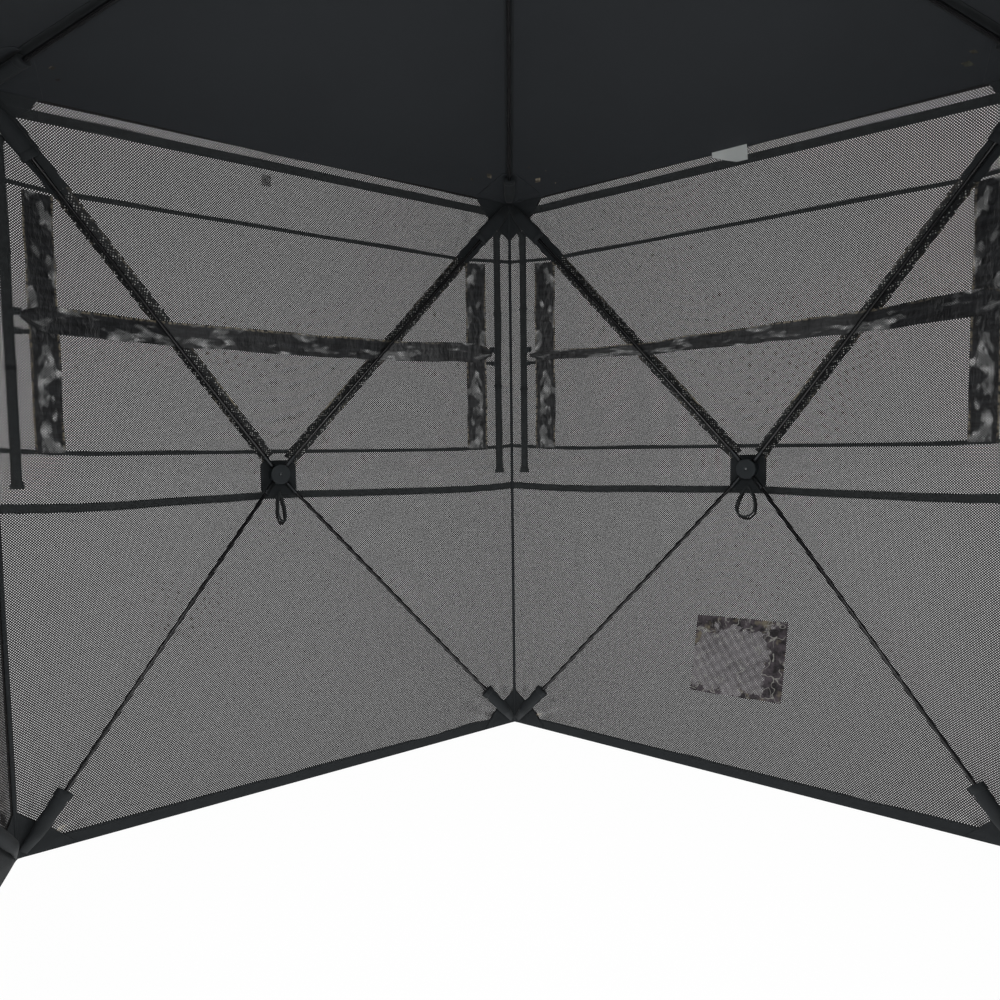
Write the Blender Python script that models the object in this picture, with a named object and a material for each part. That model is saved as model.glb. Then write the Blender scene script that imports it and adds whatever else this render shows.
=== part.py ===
"""Pop up ground blind: five hub walls and a hub roof of cloth, spread by glass fibre rods.

Metres, +Z up. The blind stands on z = 0 with the middle of its outline over the origin. One corner
points to +Y, and the wall opposite it, facing -Y, holds the door.
"""
import math

import bmesh
import bpy
from mathutils import Matrix, Vector

# Driving dimensions
WALL_COUNT = 5
CORNER_HEIGHT = 1.60
WALL_WIDTH = 1.3265
WALL_BULGE = 0.222
ROOF_RISE = 0.32
CLOTH = 0.002
CLOTH_GAP = 0.001
SEAM_GAP = 0.002
ROOF_OVERHANG = 0.004

# Rods and hubs
ROD_RADIUS = 0.005
ROD_BOW = 0.006
ROD_STEPS = 6
WALL_TIP_INSET = 0.060
ROOF_TIP_INSET = 0.075
HUB_RADIUS = 0.0275
HUB_DEPTH = 0.014
HUB_BASE = 0.003
HUB_SLOT_HEIGHT = 0.0185
HUB_SLOT_WIDTH = 0.0125
HUB_COVER = 0.005
HUB_SIDES = 28
PIVOT_RADIUS = 0.017
SCREW_RADIUS = 0.003
FIT_GAP = 0.0003

# Door and window curtains
DOOR_SEAM_GAP = 0.006
DOOR_EDGE_GAP = 0.016
DOOR_HUB_GAP = 0.075
STRIP_LOW = 1.125
STRIP_HIGH = 1.180
STRIP_END = 0.050
STRIP_DEPTH = 0.010
STRIP_THICKNESS = 0.004
CURTAIN_LOW = 0.866
CURTAIN_HIGH = 1.418
CURTAIN_IN = 0.076
CURTAIN_WIDTH = 0.058
CURTAIN_DEPTH = 0.0045
CURTAIN_THICKNESS = 0.002

# Worked out from the driving dimensions
HALF_WIDTH = WALL_WIDTH / 2
HUB_HEIGHT = CORNER_HEIGHT / 2
HALF_TURN = math.pi / WALL_COUNT
APOTHEM = HALF_WIDTH / math.tan(HALF_TURN)
CORNER_RADIUS = HALF_WIDTH / math.sin(HALF_TURN)
HALF_DIAGONAL = math.hypot(HALF_WIDTH, HUB_HEIGHT)
ROOF_CORNER_RADIUS = (APOTHEM + ROOF_OVERHANG) / math.cos(HALF_TURN)
DOOR_WALL_REACH = APOTHEM + WALL_BULGE + CLOTH
MIDDLE_Y = (DOOR_WALL_REACH - ROOF_CORNER_RADIUS) / 2
PIVOT_DEPTH = HUB_DEPTH + HUB_BASE + HUB_SLOT_HEIGHT / 2

# Walls by the compass angle of their outward normal, and corners by theirs
SIDES = {"back_left": 126, "back_right": 54, "left": 198, "right": 342, "front": 270}
CORNERS = {"back": 90, "left": 162, "front_left": 234, "front_right": 306, "right": 18}
WALL_ARMS = {"upper_right": (1, 1), "upper_left": (-1, 1), "lower_left": (-1, -1), "lower_right": (1, -1)}
UP = Vector((0, 0, 1))


def outward(angle):
    """Unit vector in plan at a compass angle in degrees."""
    turn = math.radians(angle)
    return Vector((math.cos(turn), math.sin(turn), 0))


def wall_frame(side):
    """Middle of a wall's foot, its direction to the right seen from inside, and its outward normal."""
    normal = outward(SIDES[side])
    along = normal.cross(UP)
    return Vector((0, MIDDLE_Y, 0)) + normal * APOTHEM, along, normal


def wall_point(side, across, depth, height):
    """A point on a wall: across from its middle, depth outwards from its flat plane, height over the floor."""
    foot, along, normal = wall_frame(side)
    return foot + along * across + normal * depth + UP * height


def skin_depth(across, height):
    """How far the wall's cloth stands out at a point, as four flat triangles from hub to edges."""
    share = max(abs(across) / HALF_WIDTH, abs(height - HUB_HEIGHT) / HUB_HEIGHT)
    return WALL_BULGE * (1 - share)


def make_material(name, colour, roughness, metallic=0.0):
    """A plain Principled material."""
    material = bpy.data.materials.new(name)
    material.use_nodes = True
    shader = material.node_tree.nodes["Principled BSDF"]
    shader.inputs["Base Color"].default_value = (*colour, 1.0)
    shader.inputs["Roughness"].default_value = roughness
    shader.inputs["Metallic"].default_value = metallic
    return material


def add_object(name, mesh, material, place=None):
    """Puts a mesh in the scene as one named part, at a place given as a matrix."""
    if not mesh.materials:
        mesh.materials.append(material)
    part = bpy.data.objects.new(name, mesh)
    bpy.context.scene.collection.objects.link(part)
    if place is not None:
        part.matrix_world = place
    return part


def mesh_from(bm, name):
    """Closes off a bmesh into a mesh with its faces pointing out."""
    bmesh.ops.recalc_face_normals(bm, faces=bm.faces)
    mesh = bpy.data.meshes.new(name)
    bm.to_mesh(mesh)
    bm.free()
    return mesh


def fan_skin(name, rim, apex, thickness, closed, material):
    """A pyramid of cloth: triangles from the rim's points to the apex, given a thickness."""
    bm = bmesh.new()
    inner = [bm.verts.new(point) for point in rim]
    outer = [bm.verts.new(point + thickness) for point in rim]
    inner_apex = bm.verts.new(apex)
    outer_apex = bm.verts.new(apex + thickness)
    count = len(rim)
    for i in range(count if closed else count - 1):
        j = (i + 1) % count
        bm.faces.new((inner[i], inner[j], inner_apex))
        bm.faces.new((outer[j], outer[i], outer_apex))
        bm.faces.new((inner[j], inner[i], outer[i], outer[j]))
    if not closed:
        bm.faces.new((inner[0], inner_apex, outer_apex, outer[0]))
        bm.faces.new((inner_apex, inner[-1], outer[-1], outer_apex))
    return add_object(name, mesh_from(bm, name), material)


def strip_mesh(name, rows, thickness):
    """A closed strip between two rows of points, given a thickness."""
    bm = bmesh.new()
    near = [[bm.verts.new(point) for point in row] for row in rows]
    far = [[bm.verts.new(point + thickness) for point in row] for row in rows]
    low, high = near
    far_low, far_high = far
    last = len(low) - 1
    for i in range(last):
        bm.faces.new((low[i], low[i + 1], high[i + 1], high[i]))
        bm.faces.new((far_low[i + 1], far_low[i], far_high[i], far_high[i + 1]))
        bm.faces.new((low[i + 1], low[i], far_low[i], far_low[i + 1]))
        bm.faces.new((high[i], high[i + 1], far_high[i + 1], far_high[i]))
    bm.faces.new((low[0], high[0], far_high[0], far_low[0]))
    bm.faces.new((high[last], low[last], far_low[last], far_high[last]))
    return mesh_from(bm, name)


def build_walls(material):
    """One skin of cloth per wall; the door wall leaves out the triangle that the door fills."""
    reach = HALF_WIDTH - SEAM_GAP
    top = CORNER_HEIGHT - CLOTH_GAP
    corners = [(-reach, top), (reach, top), (reach, 0.0), (-reach, 0.0)]
    for side in SIDES:
        rim = [wall_point(side, across, 0.0, height) for across, height in corners]
        apex = wall_point(side, 0.0, WALL_BULGE, HUB_HEIGHT)
        thickness = outward(SIDES[side]) * CLOTH
        fan_skin(f"{side}_wall", rim, apex, thickness, side != "front", material)


def build_roof(material):
    """The roof's skin, a shallow pyramid that overhangs the walls a little."""
    rim = [
        Vector((0, MIDDLE_Y, CORNER_HEIGHT)) + outward(angle) * ROOF_CORNER_RADIUS
        for angle in sorted(CORNERS.values())
    ]
    apex = Vector((0, MIDDLE_Y, CORNER_HEIGHT + ROOF_RISE))
    fan_skin("roof_skin", rim, apex, UP * CLOTH, True, material)


def build_door(material):
    """The door flap, hinged on the seam to its neighbour, with its origin on that seam."""
    slope = HUB_HEIGHT / HALF_WIDTH
    rows = []
    for sense in (-1, 1):
        row = []
        for across in (DOOR_SEAM_GAP - HALF_WIDTH, -DOOR_HUB_GAP):
            height = HUB_HEIGHT + sense * (abs(across) * slope - DOOR_EDGE_GAP)
            row.append(wall_point("front", across, skin_depth(across, HUB_HEIGHT), height))
        rows.append(row)
    hinge = wall_point("front", 2 * SEAM_GAP - HALF_WIDTH, 0.0, HUB_HEIGHT)
    rows = [[point - hinge for point in row] for row in rows]
    mesh = strip_mesh("door_flap", rows, outward(SIDES["front"]) * CLOTH)
    add_object("door_flap", mesh, material, Matrix.Translation(hinge))


def build_window_strips(material):
    """The gathered strip across each window, lying between the rods and the wall's skin."""
    for side in SIDES:
        if side == "front":
            continue
        rows = []
        for height in (STRIP_LOW, STRIP_HIGH):
            kink = HALF_WIDTH * (height - HUB_HEIGHT) / HUB_HEIGHT
            end = HALF_WIDTH - STRIP_END
            row = [
                wall_point(side, across, skin_depth(across, height) - STRIP_DEPTH, height)
                for across in (-end, -kink, kink, end)
            ]
            rows.append(row)
        mesh = strip_mesh(f"{side}_window_strip", rows, outward(SIDES[side]) * STRIP_THICKNESS)
        add_object(f"{side}_window_strip", mesh, material)


def build_curtains(material):
    """Two upright curtains on each window wall, parked beside the corners, each with its own origin."""
    outer = HALF_WIDTH - CURTAIN_IN
    inner = outer - CURTAIN_WIDTH
    middle = (outer + inner) / 2
    for side in SIDES:
        if side == "front":
            continue
        for hand, sense in (("left", -1), ("right", 1)):
            centre = wall_point(side, sense * middle, 0.0, (CURTAIN_LOW + CURTAIN_HIGH) / 2)
            rows = [
                [
                    wall_point(side, sense * across, skin_depth(across, HUB_HEIGHT) - CURTAIN_DEPTH, height)
                    - centre
                    for across in (inner, outer)
                ]
                for height in (CURTAIN_LOW, CURTAIN_HIGH)
            ]
            name = f"{side}_curtain_{hand}"
            mesh = strip_mesh(name, rows, outward(SIDES[side]) * CURTAIN_THICKNESS)
            add_object(name, mesh, material, Matrix.Translation(centre))


def hub_place(centre, across, normal):
    """A hub's matrix: X across, Z into the blind, its origin on the pivots' plane under the cloth."""
    inward = -normal
    second = inward.cross(across)
    spot = centre - normal * PIVOT_DEPTH
    turn = Matrix((across, second, inward)).transposed().to_4x4()
    return Matrix.Translation(spot) @ turn


def turned_disc(name, profile):
    """A solid of revolution about Z from (radius, height) points that start and end on the axis."""
    bm = bmesh.new()
    rings = []
    for radius, height in profile:
        if radius == 0.0:
            rings.append([bm.verts.new((0, 0, height))])
            continue
        ring = []
        for i in range(HUB_SIDES):
            turn = math.tau * i / HUB_SIDES
            ring.append(bm.verts.new((radius * math.cos(turn), radius * math.sin(turn), height)))
        rings.append(ring)
    for first, second in zip(rings, rings[1:]):
        for i in range(HUB_SIDES):
            j = (i + 1) % HUB_SIDES
            quad = [first[i % len(first)], first[j % len(first)], second[j % len(second)], second[i % len(second)]]
            bm.faces.new(list(dict.fromkeys(quad)))
    return mesh_from(bm, name)


def hub_body_mesh(name, arm_angles, material):
    """The moulded hub: a round block with an open slot for each rod, cut down to its base plate."""
    floor = -HUB_SLOT_HEIGHT / 2
    roof = HUB_SLOT_HEIGHT / 2
    edge = 0.001
    profile = [
        (0.0, floor - HUB_BASE),
        (HUB_RADIUS, floor - HUB_BASE),
        (HUB_RADIUS + edge, floor - HUB_BASE + edge),
        (HUB_RADIUS + edge, floor),
        (HUB_RADIUS, floor + edge),
        (HUB_RADIUS, roof),
        (0.0, roof),
    ]
    block = add_object("block", turned_disc("block", profile), material)
    cutters = []
    for angle in arm_angles:
        bm = bmesh.new()
        bmesh.ops.create_cube(bm, size=1.0)
        bmesh.ops.scale(bm, vec=(2 * HUB_RADIUS, HUB_SLOT_WIDTH, HUB_SLOT_HEIGHT), verts=bm.verts)
        bmesh.ops.translate(bm, vec=(HUB_RADIUS, 0, HUB_SLOT_HEIGHT / 2 + FIT_GAP), verts=bm.verts)
        bmesh.ops.translate(bm, vec=(0, 0, floor), verts=bm.verts)
        bmesh.ops.rotate(bm, matrix=Matrix.Rotation(angle, 3, "Z"), verts=bm.verts)
        cutter = add_object("cutter", mesh_from(bm, "cutter"), material)
        cut = block.modifiers.new("slot", "BOOLEAN")
        cut.operation = "DIFFERENCE"
        cut.object = cutter
        cutters.append(cutter)
    bpy.context.view_layer.update()
    shaped = block.evaluated_get(bpy.context.evaluated_depsgraph_get())
    mesh = bpy.data.meshes.new_from_object(shaped)
    mesh.name = name
    for part in (block, *cutters):
        bpy.data.objects.remove(part)
    return mesh


def hub_cover_mesh():
    """The round cover plate on the hub's inner face, with a dished screw hole in its middle."""
    low = HUB_SLOT_HEIGHT / 2 + FIT_GAP
    high = low + HUB_COVER
    edge = 0.0015
    profile = [
        (0.0, low),
        (HUB_RADIUS - edge, low),
        (HUB_RADIUS, low + edge),
        (HUB_RADIUS, high - edge),
        (HUB_RADIUS - edge, high),
        (2 * SCREW_RADIUS, high),
        (SCREW_RADIUS, high - edge),
        (SCREW_RADIUS, high - 2 * edge),
        (0.0, high - 2 * edge),
    ]
    return turned_disc("hub_cover", profile)


def add_rod(name, pivot, radial, normal, span, slope, material):
    """A rod from its pivot towards a corner: radial in the hub's plane, sloping back from the normal."""
    forward = (radial * math.cos(slope) - normal * math.sin(slope)).normalized()
    bow_way = (radial * math.sin(slope) + normal * math.cos(slope)).normalized()
    length = span / math.cos(slope)
    curve = bpy.data.curves.new(name, "CURVE")
    curve.dimensions = "3D"
    curve.bevel_depth = ROD_RADIUS
    curve.bevel_resolution = 2
    curve.resolution_u = 0
    curve.use_fill_caps = True
    spline = curve.splines.new("POLY")
    spline.points.add(ROD_STEPS)
    for i, point in enumerate(spline.points):
        share = i / ROD_STEPS
        place = forward * (length * share) + bow_way * (4 * ROD_BOW * share * (1 - share))
        point.co = (*place, 1.0)
    add_object(name, curve, material, Matrix.Translation(pivot))


def build_wall_frames(plastic, glass_fibre, body_mesh_by_side, cover_mesh):
    """The hub, its cover and its four rods on every wall."""
    slope = math.atan2(WALL_BULGE, HALF_DIAGONAL)
    span = HALF_DIAGONAL - WALL_TIP_INSET - PIVOT_RADIUS
    for side in SIDES:
        _, along, normal = wall_frame(side)
        place = hub_place(wall_point(side, 0.0, WALL_BULGE, HUB_HEIGHT), along, normal)
        add_object(f"{side}_hub_body", body_mesh_by_side, plastic, place)
        add_object(f"{side}_hub_cover", cover_mesh, plastic, place)
        for arm, (sense, lift) in WALL_ARMS.items():
            radial = (along * sense * HALF_WIDTH + UP * lift * HUB_HEIGHT).normalized()
            pivot = place.translation + radial * PIVOT_RADIUS
            add_rod(f"{side}_rod_{arm}", pivot, radial, normal, span, slope, glass_fibre)


def build_roof_frame(plastic, glass_fibre, body_mesh, cover_mesh):
    """The hub, its cover and the five rods under the roof."""
    slope = math.atan2(ROOF_RISE, CORNER_RADIUS)
    span = CORNER_RADIUS - ROOF_TIP_INSET - PIVOT_RADIUS
    place = hub_place(Vector((0, MIDDLE_Y, CORNER_HEIGHT + ROOF_RISE)), Vector((1, 0, 0)), UP)
    add_object("roof_hub_body", body_mesh, plastic, place)
    add_object("roof_hub_cover", cover_mesh, plastic, place)
    for corner, angle in CORNERS.items():
        radial = outward(angle)
        pivot = place.translation + radial * PIVOT_RADIUS
        add_rod(f"roof_rod_{corner}", pivot, radial, UP, span, slope, glass_fibre)


def smooth_round_parts():
    """Shades the hubs and covers smooth between their sharp edges."""
    for mesh in bpy.data.meshes:
        if mesh.name.startswith(("hub_body", "roof_hub_body", "hub_cover")):
            mesh.shade_smooth()
            mesh.set_sharp_from_angle(angle=math.radians(35))


def main():
    for old in list(bpy.data.objects):
        bpy.data.objects.remove(old)
    mesh_cloth = make_material("mesh_cloth", (0.12, 0.12, 0.115), 0.8)
    roof_cloth = make_material("roof_cloth", (0.02, 0.022, 0.025), 0.75)
    curtain_cloth = make_material("curtain_cloth", (0.05, 0.05, 0.048), 0.6)
    plastic = make_material("hub_plastic", (0.025, 0.028, 0.03), 0.45)
    glass_fibre = make_material("glass_fibre", (0.02, 0.02, 0.022), 0.3)
    build_walls(mesh_cloth)
    build_roof(roof_cloth)
    build_door(mesh_cloth)
    build_window_strips(curtain_cloth)
    build_curtains(curtain_cloth)
    wall_arms = []
    for sense, lift in WALL_ARMS.values():
        wall_arms.append(math.atan2(lift * HUB_HEIGHT, sense * HALF_WIDTH))
    roof_arms = [-math.radians(angle) for angle in CORNERS.values()]
    wall_hub = hub_body_mesh("hub_body", wall_arms, plastic)
    roof_hub = hub_body_mesh("roof_hub_body", roof_arms, plastic)
    cover = hub_cover_mesh()
    build_wall_frames(plastic, glass_fibre, wall_hub, cover)
    build_roof_frame(plastic, glass_fibre, roof_hub, cover)
    smooth_round_parts()


main()
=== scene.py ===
"""Pop up ground blind: cloth, rods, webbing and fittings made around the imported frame.

Metres, +Z up. Flat places on a wall are (across, height): across from the wall's middle to the right
as seen from inside, height above the floor. "Inside" is a distance from the cloth into the blind.
"""
import math

import bmesh
import bpy
from bpy.props import FloatProperty, FloatVectorProperty, PointerProperty
from mathutils import Matrix, Vector, noise


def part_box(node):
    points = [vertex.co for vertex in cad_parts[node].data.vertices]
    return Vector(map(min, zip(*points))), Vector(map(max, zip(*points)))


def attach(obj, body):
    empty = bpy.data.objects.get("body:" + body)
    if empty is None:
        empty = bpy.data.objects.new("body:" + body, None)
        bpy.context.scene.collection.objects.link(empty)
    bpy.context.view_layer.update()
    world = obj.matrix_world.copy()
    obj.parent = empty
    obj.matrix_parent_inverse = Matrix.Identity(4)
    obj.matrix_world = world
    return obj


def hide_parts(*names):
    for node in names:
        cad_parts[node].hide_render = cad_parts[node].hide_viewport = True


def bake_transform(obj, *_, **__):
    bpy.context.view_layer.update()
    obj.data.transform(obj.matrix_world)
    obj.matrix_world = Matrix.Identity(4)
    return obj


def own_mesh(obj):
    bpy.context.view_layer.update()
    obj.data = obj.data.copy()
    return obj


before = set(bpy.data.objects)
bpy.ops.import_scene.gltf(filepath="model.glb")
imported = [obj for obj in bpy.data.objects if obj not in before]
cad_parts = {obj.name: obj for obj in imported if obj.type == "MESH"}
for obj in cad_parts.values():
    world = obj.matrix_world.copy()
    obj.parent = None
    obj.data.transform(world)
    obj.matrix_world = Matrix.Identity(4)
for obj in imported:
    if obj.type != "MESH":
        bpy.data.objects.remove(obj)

bl_info = {
    "name": "Pop Up Ground Blind",
    "version": (1, 0, 0),
    "blender": (4, 5, 0),
    "location": "View3D > Sidebar > Ground Blind",
    "description": "Builds the cloth, rods, webbing and fittings of a five-sided hub blind",
    "category": "Add Mesh",
}

SIDES = {"back_left": 126, "back_right": 54, "left": 198, "right": 342, "front": 270}
WINDOW_SIDES = ("back_left", "back_right", "left", "right")
CORNERS = {"back": 90, "left": 162, "front_left": 234, "front_right": 306, "right": 18}
ARMS = {"upper_right": (1, 1), "upper_left": (-1, 1), "lower_left": (-1, -1), "lower_right": (1, -1)}
GORES = {"right": (1, 0), "top": (0, 1), "left": (-1, 0), "bottom": (0, -1)}
UP = Vector((0, 0, 1))
CLOTH_MAP = "cloth"

# Sizes that the frame gives
SEAM_GAP = 0.002
FRAME_CLOTH = 0.002
front_low, front_high = (Vector(corner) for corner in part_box("front_wall"))
roof_low, roof_high = (Vector(corner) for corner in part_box("roof_skin"))
hub_low, hub_high = (Vector(corner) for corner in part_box("roof_hub_cover"))
MIDDLE_Y = (hub_low.y + hub_high.y) / 2
HALF_WIDTH = (front_high.x - front_low.x) / 2 + SEAM_GAP
APOTHEM = MIDDLE_Y - front_high.y
BULGE = front_high.y - front_low.y - FRAME_CLOTH
CORNER_HEIGHT = roof_low.z
ROOF_RISE = roof_high.z - roof_low.z - FRAME_CLOTH
HUB_HEIGHT = CORNER_HEIGHT / 2
HALF_TURN = math.pi / len(SIDES)
ROOF_APOTHEM = APOTHEM + 0.004
ROOF_RADIUS = ROOF_APOTHEM / math.cos(HALF_TURN)
HALF_DIAGONAL = math.hypot(HALF_WIDTH, HUB_HEIGHT)
SEAM_RADIUS = HALF_WIDTH / math.sin(HALF_TURN)
FLOOR_MIDDLE = Vector((0, MIDDLE_Y, 0))
ROOF_MIDDLE = Vector((0, MIDDLE_Y, CORNER_HEIGHT))
PIVOT_RADIUS = 0.017
PIVOT_DEPTH = 0.02625
WALL_TIP_INSET = 0.060
ROOF_TIP_INSET = 0.075
SCREW_SUNK = 0.0028

# Heights of what is sewn to a window wall, and distances from its side seams
BAND_HEIGHT = 1.568
UPPER_TAPE_HEIGHT = 1.428
LOWER_TAPE_HEIGHT = 0.863
TAPE_HEIGHTS = (UPPER_TAPE_HEIGHT, LOWER_TAPE_HEIGHT)
HUB_BAND_HEIGHT = 0.741
STRAP_IN = 0.040
STRAP_LOW = 0.790
STRAP_HIGH = 1.517
KEEPER_HEIGHTS = {-1: (1.285, 1.045), 1: (1.270, 1.055)}
KEEPER_HALF_WIDTH = 0.0125
KEEPER_HALF_HEIGHT = 0.005
STITCH_END = 0.64
TACK_END = 0.55
STRIP_LOW = 1.124
STRIP_HIGH = 1.181
STRIP_END = 0.050
CURTAIN_IN = 0.076
CURTAIN_WIDTH = 0.058
CURTAIN_LOW = 0.866
CURTAIN_HIGH = 1.418
CURTAIN_DEPTH = 0.0040
STRIP_INSIDE = 0.0085

# The door: gaps to its corner seam, to the wall's diagonals and to the hub, and its edge beside the hub
DOOR_SEAM_GAP = 0.006
ZIP_SEAM_GAP = 0.030
TEETH_SEAM_GAP = 0.105
DOOR_EDGE_GAP = 0.016
DOOR_HUB_GAP = 0.075
ZIP_SLIDER_GAP = 0.105
DOOR_SLOPE = HUB_HEIGHT / HALF_WIDTH

# Depth off the wall of the curtains' anchor points
CURTAIN_FOLD_DEPTH = 0.0065

# How far each layer lies inside the cloth, and how thick it is
HEM_INSIDE = 0.0016
REPAIR_INSIDE = 0.0018
ZIP_TAPE_INSIDE = -0.0018
BAND_INSIDE = 0.0020
ROOF_PATCH_INSIDE = 0.0022
HEM_STITCH_INSIDE = 0.0023
SPARE_INSIDE = 0.0024
BAND_STITCH_INSIDE = 0.0027
STRAP_INSIDE = 0.0030
PATCH_INSIDE = 0.0030
BACKING_INSIDE = 0.0042
HUB_PATCH_INSIDE = 0.0052
HOOK_TAPE_INSIDE = 0.0058
HUB_STITCH_INSIDE = 0.0060
HOOK_INSIDE = 0.0070
TAG_INSIDE = 0.0075
HEM_THICKNESS = 0.0011
WEBBING_THICKNESS = 0.0010
TAPE_THICKNESS = 0.0009
PATCH_THICKNESS = 0.0012
HUB_PATCH_THICKNESS = 0.0014


# ------------------------------------------------------------------ sizes and colours


class BlindSizes(bpy.types.PropertyGroup):
    """Sizes of the cloth, webbing and fittings."""

    hole_pitch: FloatProperty(
        name="Hole pitch",
        description="Spacing of the see-through cloth's holes",
        default=0.0056,
        unit="LENGTH",
    )
    hole_level: FloatProperty(
        name="Hole level",
        description="Higher makes the holes smaller, from 0 to 1",
        default=0.56,
        subtype="FACTOR",
    )
    cloth: FloatProperty(
        name="Cloth", description="Thickness of the wall cloth", default=0.0006, unit="LENGTH"
    )
    band_width: FloatProperty(
        name="Band", description="Width of the wide webbing", default=0.020, unit="LENGTH"
    )
    tape_width: FloatProperty(
        name="Tape", description="Width of the narrow tape", default=0.010, unit="LENGTH"
    )
    hem_width: FloatProperty(
        name="Hem", description="Height of the bottom hem", default=0.026, unit="LENGTH"
    )
    backing_width: FloatProperty(
        name="Rod backing", description="Width of the strip sewn behind a rod", default=0.040, unit="LENGTH"
    )
    pocket_width: FloatProperty(
        name="Pocket", description="Width of a rod's pocket", default=0.034, unit="LENGTH"
    )
    pocket_length: FloatProperty(
        name="Pocket length",
        description="From the corner to the pocket's mouth",
        default=0.150,
        unit="LENGTH",
    )
    corner_patch: FloatProperty(
        name="Corner patch",
        description="How far a corner patch runs along the edges",
        default=0.112,
        unit="LENGTH",
    )
    hub_patch: FloatProperty(
        name="Hub patch", description="Side of the patch sewn behind a hub", default=0.098, unit="LENGTH"
    )
    rod_radius: FloatProperty(name="Rod", description="Radius of the rods", default=0.0050, unit="LENGTH")
    rod_bow: FloatProperty(name="Rod bow", description="How far a rod bows", default=0.006, unit="LENGTH")
    roof_sag: FloatProperty(
        name="Roof sag", description="Sag of the roof between rods", default=0.014, unit="LENGTH"
    )
    stitch: FloatProperty(name="Stitch", description="Length of one stitch", default=0.0055, unit="LENGTH")
    stitch_gap: FloatProperty(
        name="Stitch gap", description="Space from one stitch to the next", default=0.0035, unit="LENGTH"
    )
    thread: FloatProperty(name="Thread", description="Radius of the thread", default=0.00045, unit="LENGTH")
    tooth_pitch: FloatProperty(
        name="Zip tooth", description="Spacing of the zip's teeth", default=0.0042, unit="LENGTH"
    )
    loop_length: FloatProperty(
        name="Pull loop", description="Length of a pull loop", default=0.082, unit="LENGTH"
    )


def colour(label, about, *rgb):
    """A colour setting, in linear values."""
    return FloatVectorProperty(
        name=label, description=about, default=rgb, size=3, subtype="COLOR", min=0.0, max=1.0
    )


class BlindColours(bpy.types.PropertyGroup):
    """Colours of the cloth, webbing and fittings."""

    mesh_thread: colour("Mesh thread", "Inner side of the see-through cloth", 0.030, 0.029, 0.030)
    roof_black: colour("Roof lining", "Coated inner side of the roof", 0.0285, 0.0330, 0.0385)
    webbing: colour("Webbing", "Bands, tapes and straps", 0.038, 0.043, 0.045)
    patch: colour("Patches", "Reinforcing patches, hems and pockets", 0.021, 0.025, 0.028)
    curtain: colour("Curtain", "Dark ground of the curtains", 0.020, 0.021, 0.023)
    curtain_pale: colour("Curtain print", "Pale print on the curtains", 0.230, 0.235, 0.235)
    straw: colour("Straw", "Palest colour of the camouflage", 0.340, 0.295, 0.215)
    bark: colour("Bark", "Mid brown of the camouflage", 0.088, 0.064, 0.047)
    moss: colour("Moss", "Grey green of the camouflage", 0.082, 0.088, 0.066)
    shadow: colour("Shadow", "Darkest colour of the camouflage", 0.022, 0.018, 0.014)
    plastic: colour("Hub plastic", "Moulded hubs and hooks", 0.026, 0.032, 0.036)
    rod: colour("Rod", "Glass fibre rods", 0.006, 0.006, 0.007)
    ferrule: colour("Ferrule", "Dark metal ends of the rods", 0.060, 0.064, 0.068)
    metal: colour("Metal", "Ferrules, screws and zip pulls", 0.420, 0.430, 0.440)
    label: colour("Tag", "Blank woven tag", 0.640, 0.670, 0.660)
    floor: colour("Floor", "Studio floor", 0.060, 0.060, 0.060)


class BlindStudio(bpy.types.PropertyGroup):
    """The studio's camera and lights."""

    eye_height: FloatProperty(
        name="Eye height", description="Camera above the floor", default=0.8634, unit="LENGTH"
    )
    eye_back: FloatProperty(
        name="Eye back", description="Camera behind the blind's middle", default=1.1722, unit="LENGTH"
    )
    eye_side: FloatProperty(name="Eye side", description="Camera to the left", default=0.013, unit="LENGTH")
    pan: FloatProperty(name="Pan", description="Turn to the left", default=0.0110, subtype="ANGLE")
    tilt: FloatProperty(name="Tilt", description="Turn downwards", default=0.0688, subtype="ANGLE")
    roll: FloatProperty(name="Roll", description="Lean of the camera", default=-0.0120, subtype="ANGLE")
    lens: FloatProperty(name="Lens", description="Focal length in millimetres", default=26.73)
    near: FloatProperty(name="Near", description="Nearest distance shown", default=0.30, unit="LENGTH")
    floor_glow: FloatProperty(name="Floor glow", description="Light the pale floor gives off", default=0.98)
    sky: FloatProperty(name="Sky", description="Strength of the white surroundings", default=1.0)
    fill: FloatProperty(name="Fill", description="Power of the soft light inside, in watts", default=5.0)
    key: FloatProperty(name="Key", description="Power of the soft light outside, in watts", default=260.0)


def sizes():
    return bpy.context.scene.blind_sizes


def colours():
    return bpy.context.scene.blind_colours


def studio():
    return bpy.context.scene.blind_studio


# ------------------------------------------------------------------ places on the walls and the roof


def outward(angle):
    """Unit vector in plan at a compass angle in degrees."""
    turn = math.radians(angle)
    return Vector((math.cos(turn), math.sin(turn), 0))


def wall_point(side, across, depth, height):
    """A point at a depth outwards from the wall's flat plane."""
    normal = outward(SIDES[side])
    along = normal.cross(UP)
    return FLOOR_MIDDLE + normal * (APOTHEM + depth) + along * across + UP * height


def share_to_hub(across, height):
    """0 at the wall's edges and 1 at its hub."""
    return 1 - max(abs(across) / HALF_WIDTH, abs(height - HUB_HEIGHT) / HUB_HEIGHT)


def fold_depth(across, height):
    """Small folds that the hub and the corners pull into a wall."""
    rise = height - HUB_HEIGHT
    turn = math.atan2(rise, across)
    reach = math.hypot(rise, across)
    depth = 0.0008 * math.exp(-(((reach - 0.12) / 0.06) ** 2)) * math.sin(14 * turn)
    to_side = HALF_WIDTH - abs(across)
    to_end = HUB_HEIGHT - abs(rise)
    corner_reach = math.hypot(to_side, to_end)
    corner_turn = math.atan2(to_end, to_side)
    return depth + 0.0009 * math.exp(-((corner_reach / 0.17) ** 2)) * math.sin(18 * corner_turn)


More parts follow.
